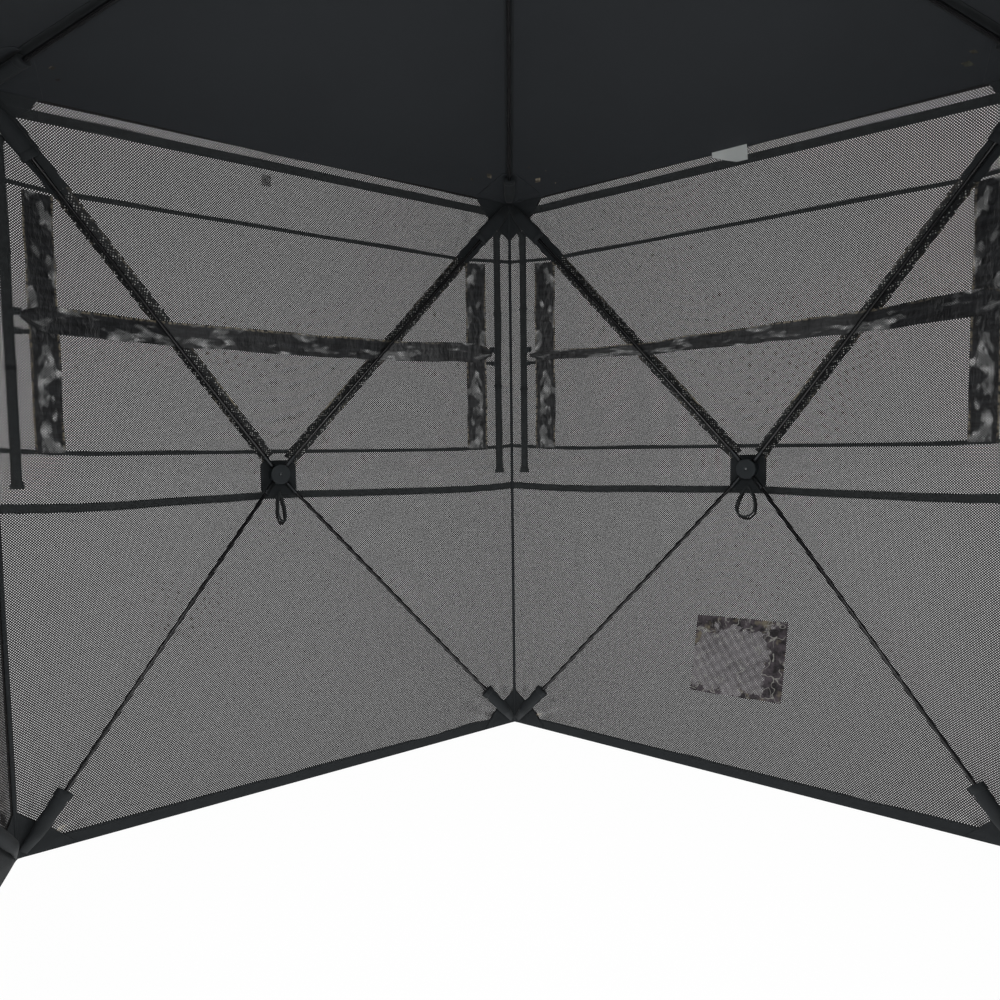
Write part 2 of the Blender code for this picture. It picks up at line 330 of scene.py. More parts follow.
def cloth_point(side, across, height, inside=0.0):
    """A point on a wall's cloth, or inside it."""
    depth = BULGE * share_to_hub(across, height) + fold_depth(across, height)
    return wall_point(side, across, depth - inside, height)


def on_wall(side, inside=0.0):
    """Places flat points on a wall's cloth, or inside it."""

    def place(across, height, extra=0.0):
        return cloth_point(side, across, height, inside + extra)

    return place


def blend_on_wall(piece, side, inside=0.0):
    """Bakes the piece's placement into its mesh. The wall's cloth crosses from the seams to the hub."""
    start = wall_point(side, 0, -inside, HUB_HEIGHT)
    end = wall_point(side, 0, BULGE - inside, HUB_HEIGHT)
    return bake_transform(piece)


def roof_corner(angle):
    return ROOF_MIDDLE + outward(angle) * ROOF_RADIUS


def roof_share(x, y):
    """0 at the roof's edge and 1 at its peak."""
    spot = Vector((x, y - MIDDLE_Y, 0))
    return 1 - max(spot.dot(outward(angle)) for angle in SIDES.values()) / ROOF_APOTHEM


def roof_point(x, y, inside=0.0):
    """A point on the roof's cloth, or under it, with its sag between the rods and its corner folds."""
    share = roof_share(x, y)
    spot = Vector((x, y - MIDDLE_Y, 0))
    turn = (math.degrees(math.atan2(spot.y, spot.x)) - 18) % 72
    between = math.sin(math.pi * turn / 72)
    sag = sizes().roof_sag * between**1.4 * min(1.0, 4 * (1 - share)) * (0.35 + 0.65 * share)
    angle = min(CORNERS.values(), key=lambda angle: (roof_corner(angle).xy - Vector((x, y))).length)
    way = outward(angle)
    back = ROOF_RADIUS - spot.dot(way)
    aside = spot.dot(way.cross(UP))
    fan = math.atan2(aside, back + 0.001)
    reach = math.hypot(aside, back)
    folds = 0.0020 * math.exp(-((reach / 0.20) ** 2)) * math.sin(26 * fan + 5 * noise.noise(spot * 4))
    folds *= min(1.0, reach / 0.03)
    ripple = 0.0018 * noise.noise(Vector((x * 5, y * 5, 7.7))) * between
    return Vector((x, y, CORNER_HEIGHT + ROOF_RISE * share - sag + folds + ripple - inside))


def blend_on_roof(piece, inside=0.0):
    """Bakes the piece's placement into its mesh. The roof's cloth crosses from the edges to the peak."""
    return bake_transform(piece)


def blend_along_ridge(piece, angle):
    """Bakes the piece's placement into its mesh; the piece lies along a roof rod, from the rod's corner to
    the peak.
    """
    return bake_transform(piece, "skins", "roof_hub", start=roof_corner(angle), end=ROOF_MIDDLE)


# ------------------------------------------------------------------ mesh makers


def add_piece(name, bm, finishes, sharp=50.0):
    """Closes a bmesh into a smooth-shaded piece with its faces pointing out."""
    bmesh.ops.remove_doubles(bm, verts=bm.verts, dist=1e-6)
    bmesh.ops.dissolve_degenerate(bm, edges=bm.edges, dist=1e-7)
    bmesh.ops.recalc_face_normals(bm, faces=bm.faces)
    mesh = bpy.data.meshes.new(name)
    bm.to_mesh(mesh)
    bm.free()
    for finish in finishes:
        mesh.materials.append(finish)
    mesh.shade_smooth()
    mesh.set_sharp_from_angle(angle=math.radians(sharp))
    piece = bpy.data.objects.new(name, mesh)
    bpy.context.scene.collection.objects.link(piece)
    return piece


def lay_face(bm, layer, corners, finish):
    """One face from (vertex, flat point) pairs, left out where it has no area."""
    verts = [vert for vert, _ in corners]
    if len(set(verts)) < 3:
        return
    face = bm.faces.new(verts)
    face.material_index = finish
    for loop, (_, flat) in zip(face.loops, corners):
        loop[layer].uv = flat


def lay_cloth(bm, rows, place, thickness, back=1, wrap=False):
    """A closed thin sheet from rows of flat points. place(a, b, inside) gives a point's spot in space."""
    layer = bm.loops.layers.uv.get(CLOTH_MAP) or bm.loops.layers.uv.new(CLOTH_MAP)
    near = [[(bm.verts.new(place(*flat, 0.0)), flat) for flat in row] for row in rows]
    far = [[(bm.verts.new(place(*flat, -thickness)), flat) for flat in row] for row in rows]
    count = len(rows[0])
    for r in range(len(rows) - 1):
        for c in range(count - 1):
            ring = ((r, c), (r, c + 1), (r + 1, c + 1), (r + 1, c))
            lay_face(bm, layer, [near[i][j] for i, j in ring], 0)
            lay_face(bm, layer, [far[i][j] for i, j in reversed(ring)], back)
    last = len(rows) - 1
    edges = [((0, c), (0, c + 1)) for c in range(count - 1)]
    edges += [((last, c + 1), (last, c)) for c in range(count - 1)]
    if not wrap:
        edges += [((r + 1, 0), (r, 0)) for r in range(last)]
        edges += [((r, count - 1), (r + 1, count - 1)) for r in range(last)]
    for (i, j), (k, m) in edges:
        lay_face(bm, layer, [near[k][m], near[i][j], far[i][j], far[k][m]], back)


def cloth_piece(name, sheets, place, thickness, finishes):
    """A piece of one or more closed thin sheets."""
    bm = bmesh.new()
    for rows in sheets:
        lay_cloth(bm, rows, place, thickness, back=min(1, len(finishes) - 1))
    return add_piece(name, bm, finishes)


def spread(first, last, count):
    """Evenly spaced values, both ends included."""
    return [first + (last - first) * i / (count - 1) for i in range(count)]


def ring_about(centre, first, second, half_wide, half_high, sides):
    """Points of an ellipse spanned by two directions."""
    points = []
    for i in range(sides):
        turn = math.tau * i / sides
        points.append(centre + first * (half_wide * math.cos(turn)) + second * (half_high * math.sin(turn)))
    return points


def lay_tube(bm, path, wide, high, sides, normal, finish=0, closed=False):
    """A capped tube along a path. wide and high are its radii, one or one a point; high is along normal."""
    layer = bm.loops.layers.uv.get(CLOTH_MAP) or bm.loops.layers.uv.new(CLOTH_MAP)
    count = len(path)
    wides = wide if hasattr(wide, "__len__") else [wide] * count
    highs = high if hasattr(high, "__len__") else [high] * count
    rings, run = [], 0.0
    for i, spot in enumerate(path):
        before = path[i - 1] if i or closed else spot
        after = path[(i + 1) % count] if i < count - 1 or closed else spot
        forward = (after - before).normalized()
        across = forward.cross(normal).normalized()
        upward = across.cross(forward)
        run += (spot - path[i - 1]).length if i else 0.0
        ring = ring_about(spot, across, upward, wides[i], highs[i], sides)
        rings.append([(bm.verts.new(point), run) for point in ring])
    spans = list(range(count - 1)) + ([count - 1] if closed else [])
    for i in spans:
        first, second = rings[i], rings[(i + 1) % count]
        for j in range(sides):
            k = (j + 1) % sides
            corners = [(first[j], j), (first[k], j + 1), (second[k], j + 1), (second[j], j)]
            face = [(vert, (at * wides[0] * math.tau / sides, run)) for (vert, run), at in corners]
            lay_face(bm, layer, face, finish)
    if not closed:
        for ring in (rings[0], rings[-1]):
            lay_face(bm, layer, [(vert, (0.0, run)) for vert, run in ring], finish)


def ribbon_loop(bm, path, width_way, width, thickness, finish=0):
    """A flat strap of given width that follows a path."""
    layer = bm.loops.layers.uv.get(CLOTH_MAP) or bm.loops.layers.uv.new(CLOTH_MAP)
    rings, run = [], 0.0
    for i, spot in enumerate(path):
        before = path[max(i - 1, 0)]
        after = path[min(i + 1, len(path) - 1)]
        forward = (after - before).normalized()
        face_way = forward.cross(width_way).normalized()
        run += (spot - path[i - 1]).length if i else 0.0
        ring = []
        for a, b in ((-1, -1), (1, -1), (1, 1), (-1, 1)):
            point = spot + width_way * (a * width / 2) + face_way * (b * thickness / 2)
            ring.append((bm.verts.new(point), (a * width / 2, run)))
        rings.append(ring)
    for first, second in zip(rings, rings[1:]):
        for j in range(4):
            k = (j + 1) % 4
            lay_face(bm, layer, [first[j], first[k], second[k], second[j]], finish)
    for ring in (rings[0], rings[-1]):
        lay_face(bm, layer, ring, finish)


# ------------------------------------------------------------------ Geometry Nodes


def link_node(tree, kind, inputs=(), **settings):
    """Adds a node, sets its options, and sets or links its inputs."""
    node = tree.nodes.new(kind)
    for key, value in settings.items():
        setattr(node, key, value)
    for key, value in dict(inputs).items():
        socket = node.inputs[key]
        if isinstance(value, bpy.types.NodeSocket):
            tree.links.new(value, socket)
        else:
            socket.default_value = value
    return node


def repeat_tree(name, finish, corners):
    """A tree that sets small bars along the edges of a mesh: stitches, bar tacks or zip teeth."""
    tree = bpy.data.node_groups.new(name, "GeometryNodeTree")
    face = tree.interface
    face.new_socket(name="Geometry", in_out="INPUT", socket_type="NodeSocketGeometry")
    for label in ("Spacing", "Bar Length", "Bar Radius", "Bar Turn"):
        face.new_socket(name=label, in_out="INPUT", socket_type="NodeSocketFloat")
    face.new_socket(name="Geometry", in_out="OUTPUT", socket_type="NodeSocketGeometry")
    given = tree.nodes.new("NodeGroupInput").outputs
    curve = link_node(tree, "GeometryNodeMeshToCurve", {"Mesh": given["Geometry"]})
    points = link_node(
        tree,
        "GeometryNodeCurveToPoints",
        {"Curve": curve.outputs["Curve"], "Length": given["Spacing"]},
        mode="LENGTH",
    )
    bar = link_node(
        tree,
        "GeometryNodeMeshCylinder",
        {"Vertices": corners, "Radius": given["Bar Radius"], "Depth": given["Bar Length"]},
    )
    along = link_node(
        tree, "FunctionNodeAlignRotationToVector", {"Vector": points.outputs["Tangent"]}, axis="Z"
    )
    turned = link_node(
        tree,
        "FunctionNodeRotateRotation",
        {"Rotation": along.outputs["Rotation"]},
        rotation_space="LOCAL",
    )
    euler = link_node(tree, "ShaderNodeCombineXYZ", {"X": given["Bar Turn"]})
    as_turn = link_node(tree, "FunctionNodeEulerToRotation", {"Euler": euler.outputs["Vector"]})
    tree.links.new(as_turn.outputs["Rotation"], turned.inputs["Rotate By"])
    placed = link_node(
        tree,
        "GeometryNodeInstanceOnPoints",
        {
            "Points": points.outputs["Points"],
            "Instance": bar.outputs["Mesh"],
            "Rotation": turned.outputs["Rotation"],
        },
    )
    real = link_node(tree, "GeometryNodeRealizeInstances", {"Geometry": placed.outputs["Instances"]})
    done = link_node(
        tree, "GeometryNodeSetMaterial", {"Geometry": real.outputs["Geometry"], "Material": finish}
    )
    link_node(tree, "NodeGroupOutput", {"Geometry": done.outputs["Geometry"]})
    return tree


def run_tree(name, lines, tree, finish, values):
    """Runs a tree on lines of points, and keeps the plain mesh that it makes."""
    carrier_mesh = bpy.data.meshes.new(name + "_lines")
    points, edges = [], []
    for line in lines:
        start = len(points)
        points += [tuple(point) for point in line]
        edges += [(i, i + 1) for i in range(start, len(points) - 1)]
    carrier_mesh.from_pydata(points, edges, [])
    carrier = bpy.data.objects.new(name + "_lines", carrier_mesh)
    bpy.context.scene.collection.objects.link(carrier)
    modifier = carrier.modifiers.new(tree.name, "NODES")
    modifier.node_group = tree
    for item in tree.interface.items_tree:
        if item.in_out == "INPUT" and item.name in values:
            modifier[item.identifier] = values[item.name]
    graph = bpy.context.evaluated_depsgraph_get()
    mesh = bpy.data.meshes.new_from_object(carrier.evaluated_get(graph))
    mesh.name = name
    mesh.materials.clear()
    mesh.materials.append(finish)
    bpy.data.objects.remove(carrier)
    piece = bpy.data.objects.new(name, mesh)
    bpy.context.scene.collection.objects.link(piece)
    return piece


def stitched(name, lines):
    """Stitches along lines, as one mesh."""
    size = sizes()
    finish = FINISHES["thread"]
    tree = bpy.data.node_groups.get("Stitches") or repeat_tree("Stitches", finish, 6)
    pitch = size.stitch + size.stitch_gap
    values = {"Spacing": pitch, "Bar Length": size.stitch, "Bar Radius": size.thread, "Bar Turn": 0.0}
    return run_tree(name, lines, tree, finish, values)


def tacked(name, lines, spacing, length):
    """Short bar tacks across a band, at a spacing along its middle line."""
    finish = FINISHES["thread"]
    tree = bpy.data.node_groups.get("Bar Tacks") or repeat_tree("Bar Tacks", finish, 6)
    thick = 2 * sizes().thread
    values = {"Spacing": spacing, "Bar Length": length, "Bar Radius": thick, "Bar Turn": math.pi / 2}
    return run_tree(name, lines, tree, finish, values)


def toothed(name, lines):
    """Zip teeth along lines."""
    finish = FINISHES["zip"]
    tree = bpy.data.node_groups.get("Zip Teeth") or repeat_tree("Zip Teeth", finish, 5)
    pitch = sizes().tooth_pitch
    values = {"Spacing": pitch, "Bar Length": 0.0065, "Bar Radius": pitch * 0.33, "Bar Turn": math.pi / 2}
    return run_tree(name, lines, tree, finish, values)


# ------------------------------------------------------------------ finishes

FINISHES = {}


class Finish:
    """Builds one material's nodes."""

    def __init__(self, name, roughness, metallic=0.0):
        self.material = bpy.data.materials.new(name)
        self.material.use_nodes = True
        self.tree = self.material.node_tree
        self.shader = self.tree.nodes["Principled BSDF"]
        self.shader.inputs["Roughness"].default_value = roughness
        self.shader.inputs["Metallic"].default_value = metallic

    def add(self, kind, inputs=(), **settings):
        return link_node(self.tree, kind, inputs, **settings)

    def put(self, socket, value):
        self.tree.links.new(value, self.shader.inputs[socket])

    def calc(self, operation, first, second=0.0, third=0.0):
        inputs = {0: first, 1: second, 2: third}
        return self.add("ShaderNodeMath", inputs, operation=operation).outputs[0]

    def flat(self):
        """The piece's own flat cloth coordinates, in metres."""
        return self.add("ShaderNodeUVMap", uv_map=CLOTH_MAP).outputs["UV"]

    def space(self):
        return self.add("ShaderNodeTexCoord").outputs["Object"]

    def noise(self, where, scale, detail=3.0, rough=0.5, stretch=(1, 1, 1), shift=(0, 0, 0)):
        """Cloudy values, about 0.5, along stretched coordinates."""
        moved = self.add("ShaderNodeMapping", {"Vector": where, "Scale": stretch, "Location": shift})
        inputs = {"Vector": moved.outputs["Vector"], "Scale": scale, "Detail": detail, "Roughness": rough}
        return self.add("ShaderNodeTexNoise", inputs).outputs["Fac"]

    def step(self, value, low, high):
        """0 under low, 1 over high."""
        inputs = {"Value": value, "From Min": low, "From Max": high}
        return self.add("ShaderNodeMapRange", inputs, clamp=True).outputs["Result"]

    def mix(self, share, first, second):
        """Colours mixed by a share."""
        node = self.add("ShaderNodeMix", {0: share}, data_type="RGBA")
        for index, value in ((6, first), (7, second)):
            if isinstance(value, bpy.types.NodeSocket):
                self.tree.links.new(value, node.inputs[index])
            else:
                node.inputs[index].default_value = (*value, 1.0)
        return node.outputs[2]

    def bump(self, height, distance, strength=1.0, under=None):
        inputs = {"Height": height, "Distance": distance, "Strength": strength}
        if under is not None:
            inputs["Normal"] = under
        return self.add("ShaderNodeBump", inputs).outputs["Normal"]

    def split(self, vector):
        return self.add("ShaderNodeSeparateXYZ", {"Vector": vector}).outputs

    def lattice(self, where, pitch):
        """A diamond lattice from -1 to 1, with holes where it is high."""
        parts = self.split(where)
        waves = [self.calc("COSINE", self.calc("MULTIPLY", parts[i], math.tau / pitch)) for i in (0, 1)]
        return self.calc("MULTIPLY", *waves)


def shade(rgb, factor):
    return tuple(min(1.0, value * factor) for value in rgb)


def twig_lines(finish, where, stretch, move, width):
    """Thin wandering lines."""
    bend = finish.noise(where, 2.6, 3.0, 0.55, stretch=stretch, shift=(move, move, 0))
    near = finish.calc("ABSOLUTE", finish.calc("SUBTRACT", bend, 0.5))
    return finish.calc("SUBTRACT", 1.0, finish.step(near, width * 0.4, width))


def camo_colour(finish, where):
    """Leaf litter and branches: blotches of moss, bark and straw over shadow, with thin pale twigs."""
    tint = colours()
    broad = finish.noise(where, 5.0, 4.0, 0.6, stretch=(1, 0.55, 1))
    fine = finish.noise(where, 17.0, 5.0, 0.65, shift=(3, 1, 0))
    leaf = finish.noise(where, 12.0, 3.0, 0.6, stretch=(1, 2.2, 1), shift=(7, 2, 0))
    grain = finish.noise(where, 60.0, 5.0, 0.7, stretch=(2.4, 0.6, 1), shift=(1, 9, 0))
    ground = finish.mix(finish.step(broad, 0.40, 0.60), tint.moss, tint.bark)
    ground = finish.mix(finish.step(fine, 0.47, 0.58), ground, tint.shadow)
    ground = finish.mix(finish.step(leaf, 0.59, 0.66), ground, tint.straw)
    twigs = (((1.0, 3.4, 1), 0.0, 0.012), ((3.1, 1.2, 1), 4.0, 0.008), ((2, 2, 1), 9.0, 0.005))
    for stretch, move, width in twigs:
        twig = twig_lines(finish, where, stretch, move, width)
        broken = finish.calc("MULTIPLY", twig, finish.step(fine, 0.42, 0.50))
        ground = finish.mix(broken, ground, shade(tint.straw, 1.3))
    worn = finish.calc("MULTIPLY", finish.step(grain, 0.42, 0.62), 0.75)
    return finish.mix(worn, ground, tint.shadow)


def varied(finish, rgb, where, scale=9.0, depth=0.35):
    """A colour that drifts a little lighter and darker."""
    drift = finish.noise(where, scale, 4.0, 0.6)
    return finish.mix(drift, shade(rgb, 1 - depth), shade(rgb, 1 + depth))


def drifting(rgb, scale, depth):
    """The same drifting colour, as a function that a cloth's finish calls."""
    return lambda finish, where: varied(finish, rgb, where, scale, depth)


def mesh_cloth(name, outside):
    """See-through cloth: threads around a diamond lattice of holes."""
    finish = Finish(name, 0.72)
    where = finish.flat()
    weave = finish.lattice(where, sizes().hole_pitch)
    if outside:
        finish.put("Base Color", camo_colour(finish, where))
    else:
        finish.put("Base Color", varied(finish, colours().mesh_thread, where, 3.0, 0.15))
    finish.put("Alpha", finish.calc("LESS_THAN", weave, sizes().hole_level))
    finish.put("Normal", finish.bump(finish.calc("MULTIPLY", weave, -1.0), 0.0003, 0.3))
    finish.shader.inputs["Specular IOR Level"].default_value = 0.2
    return finish.material


def coated_cloth(name, base_of, roughness=0.62, wrinkle=0.0012):
    """Close plain weave with a coating: fine ribs, and soft wrinkles."""
    finish = Finish(name, roughness)
    where = finish.flat()
    finish.put("Base Color", base_of(finish, where))
    weave = finish.lattice(where, 0.0011)
    ribs = finish.bump(weave, 0.00012, 0.35)
    creases = finish.noise(where, 14.0, 5.0, 0.62, stretch=(1, 0.5, 1))
    finish.put("Normal", finish.bump(creases, wrinkle, 0.8, ribs))
    finish.shader.inputs["Sheen Weight"].default_value = 0.10
    finish.shader.inputs["Specular IOR Level"].default_value = 0.35
    return finish.material


def webbing_cloth(name, rgb, pitch=0.0016, roughness=0.78):
    """Woven tape: slanting ribs whose grooves carry painted shade and whose tops carry a painted highlight,
    lighter still at randomly worn spots.
    """
    finish = Finish(name, roughness)
    where = finish.flat()
    parts = finish.split(where)
    slant = finish.calc("ADD", finish.calc("ABSOLUTE", parts[0]), parts[1])
    ribs = finish.calc("SINE", finish.calc("MULTIPLY", slant, math.tau / pitch))
    worn = finish.step(finish.noise(where, 60.0, 4.0), 0.45, 0.75)
    # painted shade and highlight: the colour follows the ribs' height, dark in the grooves and light on the
    # tops, scaled up by random wear
    lift = finish.calc("MULTIPLY", finish.step(ribs, -0.2, 0.9), finish.calc("ADD", 0.55, worn))
    finish.put("Base Color", finish.mix(lift, shade(rgb, 0.6), shade(rgb, 1.55)))
    finish.put("Normal", finish.bump(ribs, 0.00025, 0.7))
    return finish.material


def curtain_cloth(name, across_edge, edge_low, edge_high):
    """Crinkled see-through print: dark ground, pale blotches with holes, a patchy camouflage edge."""
    finish = Finish(name, 0.36)
    where = finish.flat()
    weave = finish.lattice(where, sizes().hole_pitch * 0.9)
    stretch = (1.7, 0.8, 1) if across_edge else (0.75, 1.6, 1)
    blotch = finish.noise(where, 15.0, 2.5, 0.55, stretch=stretch, shift=(1.7, 0.4, 0))
    pale = finish.step(blotch, 0.53, 0.59)
    waves = finish.noise(where, 46.0, 3.0, 0.6, stretch=stretch, shift=(5, 3, 0))
    wavy = finish.step(waves, 0.50, 0.62)
    streak = finish.step(finish.noise(where, 40.0, 3.0, 0.6, stretch=(0.4, 2, 1)), 0.40, 0.62)
    tint = colours()
    dark = finish.mix(streak, shade(tint.curtain, 0.55), shade(tint.curtain, 1.5))
    lit = finish.calc("MULTIPLY", pale, finish.calc("SUBTRACT", 1.0, finish.calc("MULTIPLY", wavy, 0.7)))
    print_colour = finish.mix(lit, dark, tint.curtain_pale)
    at = finish.split(where)[0 if across_edge else 1]
    at = finish.calc("ABSOLUTE", at) if across_edge else at
    speckle = finish.step(finish.noise(where, 120.0, 3.0, 0.6, shift=(8, 8, 0)), 0.44, 0.56)
    run = finish.step(finish.noise(where, 6.0, 2.0, 0.5, shift=(2, 6, 0)), 0.44, 0.54)
    broken = finish.calc("MULTIPLY", speckle, run)
    edge = finish.calc("MULTIPLY", finish.step(at, edge_low, edge_high), broken)
    finish.put("Base Color", finish.mix(edge, print_colour, shade(tint.straw, 0.8)))
    hole = finish.calc("MULTIPLY", finish.calc("GREATER_THAN", weave, 0.30), lit)
    finish.put("Alpha", finish.calc("SUBTRACT", 1.0, hole))
    crinkle = finish.noise(where, 55.0, 5.0, 0.6, stretch=(1.6, 0.7, 1))
    finish.put("Normal", finish.bump(crinkle, 0.0030, 1.0))
    finish.shader.inputs["Specular IOR Level"].default_value = 0.6
    return finish.material


def backing_cloth(name):
    """The strip behind an upper rod: black with painted glints, peppered with pale dots that are painted
    light showing through its perforations, with a ragged camouflage edge.
    """
    finish = Finish(name, 0.60)
    where = finish.flat()
    dots = finish.lattice(where, 0.0080)
    keep = finish.noise(where, 110.0, 2.0, 0.5)
    # painted glints: fine specks lighter than the black
    glint = finish.noise(where, 260.0, 2.0, 0.5, shift=(4, 4, 0))
    # painted light: near-white dots stand for light showing through the strip's perforations; they are
    # colour, not holes
    shown = finish.calc("MULTIPLY", finish.calc("GREATER_THAN", dots, 0.60), finish.step(keep, 0.49, 0.57))
    tint = colours()
    black = finish.mix(finish.step(glint, 0.5, 0.75), shade(tint.patch, 0.20), shade(tint.patch, 1.6))
    base = finish.mix(shown, black, (0.95, 0.95, 0.92))
    reach = finish.calc("ABSOLUTE", finish.split(where)[0])
    patchy = finish.step(finish.noise(where, 7.0, 3.0, 0.5, shift=(2, 5, 0)), 0.46, 0.58)
    edge = finish.calc("MULTIPLY", finish.step(reach, 0.0135, 0.0165), patchy)
    finish.put("Base Color", finish.mix(edge, base, camo_colour(finish, where)))
    ragged = finish.calc("MULTIPLY", finish.calc("SUBTRACT", keep, 0.5), 0.012)
    finish.put("Alpha", finish.calc("LESS_THAN", finish.calc("ADD", reach, ragged), 0.0190))
    finish.put("Normal", finish.bump(keep, 0.0012, 0.7))
    return finish.material


def patch_print(name):
    """A spare square of printed mesh: see-through in the middle, dark and leafy around it."""
    finish = Finish(name, 0.66)
    where = finish.flat()
    weave = finish.lattice(where, sizes().hole_pitch * 0.55)
    parts = finish.split(where)
    right = finish.calc("SUBTRACT", parts[0], 0.072)
    left = finish.calc("SUBTRACT", finish.calc("MULTIPLY", parts[0], -1.0), 0.116)
    top = finish.calc("SUBTRACT", parts[1], 0.068)
    foot = finish.calc("SUBTRACT", finish.calc("MULTIPLY", parts[1], -1.0), 0.084)
    near = finish.calc("MAXIMUM", finish.calc("MAXIMUM", right, left), finish.calc("MAXIMUM", top, foot))
    wander = finish.noise(where, 14.0, 4.0, 0.65)
    near = finish.calc("ADD", near, finish.calc("MULTIPLY", finish.calc("SUBTRACT", wander, 0.5), 0.16))
    solid = finish.step(near, 0.0, 0.006)
    tint = colours()
    faint = finish.mix(finish.step(wander, 0.40, 0.62), (0.330, 0.308, 0.322), (0.215, 0.198, 0.208))
    twigs = finish.calc("MAXIMUM", twig_lines(finish, where, (3.9, 5.0, 1), 2.0, 0.009),
                        twig_lines(finish, where, (5.4, 2.6, 1), 6.0, 0.006))
    broken = finish.calc("MULTIPLY", twigs, finish.step(finish.noise(where, 22.0, 3.0), 0.40, 0.48))
    leaf = finish.step(finish.noise(where, 17.0, 3.0, 0.6, shift=(2, 3, 0)), 0.55, 0.64)
    mottle = finish.step(finish.noise(where, 34.0, 4.0, 0.65, shift=(6, 1, 0)), 0.40, 0.60)
    dark = finish.mix(mottle, (0.018, 0.015, 0.017), (0.120, 0.100, 0.114))
    border = finish.mix(leaf, dark, shade(tint.straw, 0.75))
    base = finish.mix(broken, finish.mix(solid, faint, border), (0.42, 0.41, 0.38))
    finish.put("Base Color", base)
    open_part = finish.calc("SUBTRACT", 1.0, solid)
    hole = finish.calc("MULTIPLY", finish.calc("GREATER_THAN", weave, 0.30), open_part)
    finish.put("Alpha", finish.calc("SUBTRACT", 1.0, hole))
    finish.put("Normal", finish.bump(wander, 0.002, 0.6))
    return finish.material


def moulded(name, rgb, roughness=0.46):
    """Moulded plastic: fine spark texture and scuffs."""
    finish = Finish(name, roughness)
    where = finish.space()
    scuffs = finish.noise(where, 160.0, 5.0, 0.7)
    finish.put("Base Color", finish.mix(scuffs, shade(rgb, 0.75), shade(rgb, 1.35)))
    finish.put("Roughness", finish.step(scuffs, -0.6, 2.0))
    finish.put("Normal", finish.bump(finish.noise(where, 900.0, 2.0), 0.0002, 0.5))
    return finish.material


def rod_finish(name, rgb):
    """Drawn glass fibre: smooth, glossy, with faint lengthwise streaks."""
    finish = Finish(name, 0.24)
    where = finish.flat()
    streaks = finish.noise(where, 220.0, 3.0, 0.6, stretch=(1, 0.02, 1))
    finish.put("Base Color", finish.mix(streaks, shade(rgb, 0.6), shade(rgb, 1.8)))
    finish.put("Roughness", finish.step(streaks, -0.5, 3.2))
    finish.shader.inputs["Coat Weight"].default_value = 0.35
    finish.shader.inputs["Coat Roughness"].default_value = 0.12
    return finish.material


def turned_metal(name, rgb):
    """Turned metal with a fine brushed grain."""
    finish = Finish(name, 0.34, 1.0)
    grain = finish.noise(finish.space(), 700.0, 3.0, 0.6, stretch=(1, 1, 0.1))
    finish.put("Base Color", finish.mix(grain, shade(rgb, 0.7), shade(rgb, 1.2)))
    finish.put("Roughness", finish.step(grain, -0.6, 2.2))
    return finish.material


def make_finishes():
    """Every finish of the blind, by name."""
    tint = colours()
    FINISHES["mesh_in"] = mesh_cloth("mesh_inside", False)
    FINISHES["mesh_out"] = mesh_cloth("mesh_outside", True)
    FINISHES["roof_in"] = coated_cloth("roof_inside", drifting(tint.roof_black, 4.0, 0.14), 0.62)
    FINISHES["camo"] = coated_cloth("camouflage_cloth", camo_colour, 0.74)
    FINISHES["patch"] = coated_cloth("patch_cloth", drifting(tint.patch, 30.0, 0.3), 0.70, 0.0006)
    FINISHES["webbing"] = webbing_cloth("webbing", tint.webbing)
    FINISHES["strip"] = curtain_cloth("strip_cloth", False, 0.0215, 0.0250)
    FINISHES["curtain"] = curtain_cloth("curtain_cloth", True, 0.0235, 0.0265)
    FINISHES["backing"] = backing_cloth("rod_backing")
    FINISHES["spare"] = patch_print("spare_mesh_patch")
    FINISHES["thread"] = webbing_cloth("thread", shade(tint.webbing, 1.6), 0.0006)
    FINISHES["plastic"] = moulded("hub_plastic", tint.plastic)
    FINISHES["zip"] = moulded("zip_teeth", shade(tint.plastic, 0.8), 0.40)
    FINISHES["rod"] = rod_finish("glass_fibre", tint.rod)
    FINISHES["metal"] = turned_metal("turned_metal", tint.metal)
    FINISHES["ferrule"] = turned_metal("dark_ferrule", tint.ferrule)
    FINISHES["label"] = coated_cloth("blank_tag", drifting(tint.label, 50.0, 0.08), 0.60, 0.0006)


# ------------------------------------------------------------------ walls, door and roof


def gore_rows(side, gore, steps=34, columns=36):
    """Flat points of one quarter of a wall, from its edge to the hub."""
    wide = HALF_WIDTH - SEAM_GAP / 2
    tall = HUB_HEIGHT - 0.0005
    across_way, height_way = GORES[gore]
    rows = []
    for share in spread(0.0, 1.0, steps):
        left = 1 - share
        row = []
        for slide in spread(-1.0, 1.0, columns):
            across = (across_way or slide) * wide * left
            height = HUB_HEIGHT + (height_way or slide) * tall * left
            row.append((across, height))
        rows.append(row)
    return rows


def build_walls():
    """Each wall's cloth in four gores that meet under the rods; the front wall leaves out its left gore,
    where the door is.
    """
    thin = sizes().cloth
    for side in SIDES:
        for gore, (across_way, height_way) in GORES.items():
            if side == "front" and gore == "left":
                continue
            rows = gore_rows(side, gore)
            piece = cloth_piece(
                f"{side}_gore_{gore}",
                [rows],
                on_wall(side),
                thin,
                [FINISHES["mesh_in"], FINISHES["mesh_out"]],
            )
            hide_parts(f"{side}_wall")
            start = wall_point(side, across_way * HALF_WIDTH, 0, HUB_HEIGHT * (1 + height_way))
            end = wall_point(side, 0, 0, HUB_HEIGHT)
            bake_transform(piece)


def roof_gore_rows(angle, steps=36, columns=44):
    """Flat plan points of the roof's gore over one wall, from its edge to the peak."""
    normal = outward(angle)
    along = normal.cross(UP)
    half = ROOF_APOTHEM * math.tan(HALF_TURN)
    rows = []
    for share in spread(0.0, 1.0, steps):
        left = 1 - share
        row = []
        for slide in spread(-1.0, 1.0, columns):
            spot = normal * (ROOF_APOTHEM * left) + along * (half * left * slide)
            row.append((spot.x, spot.y + MIDDLE_Y))
        rows.append(row)
    return rows


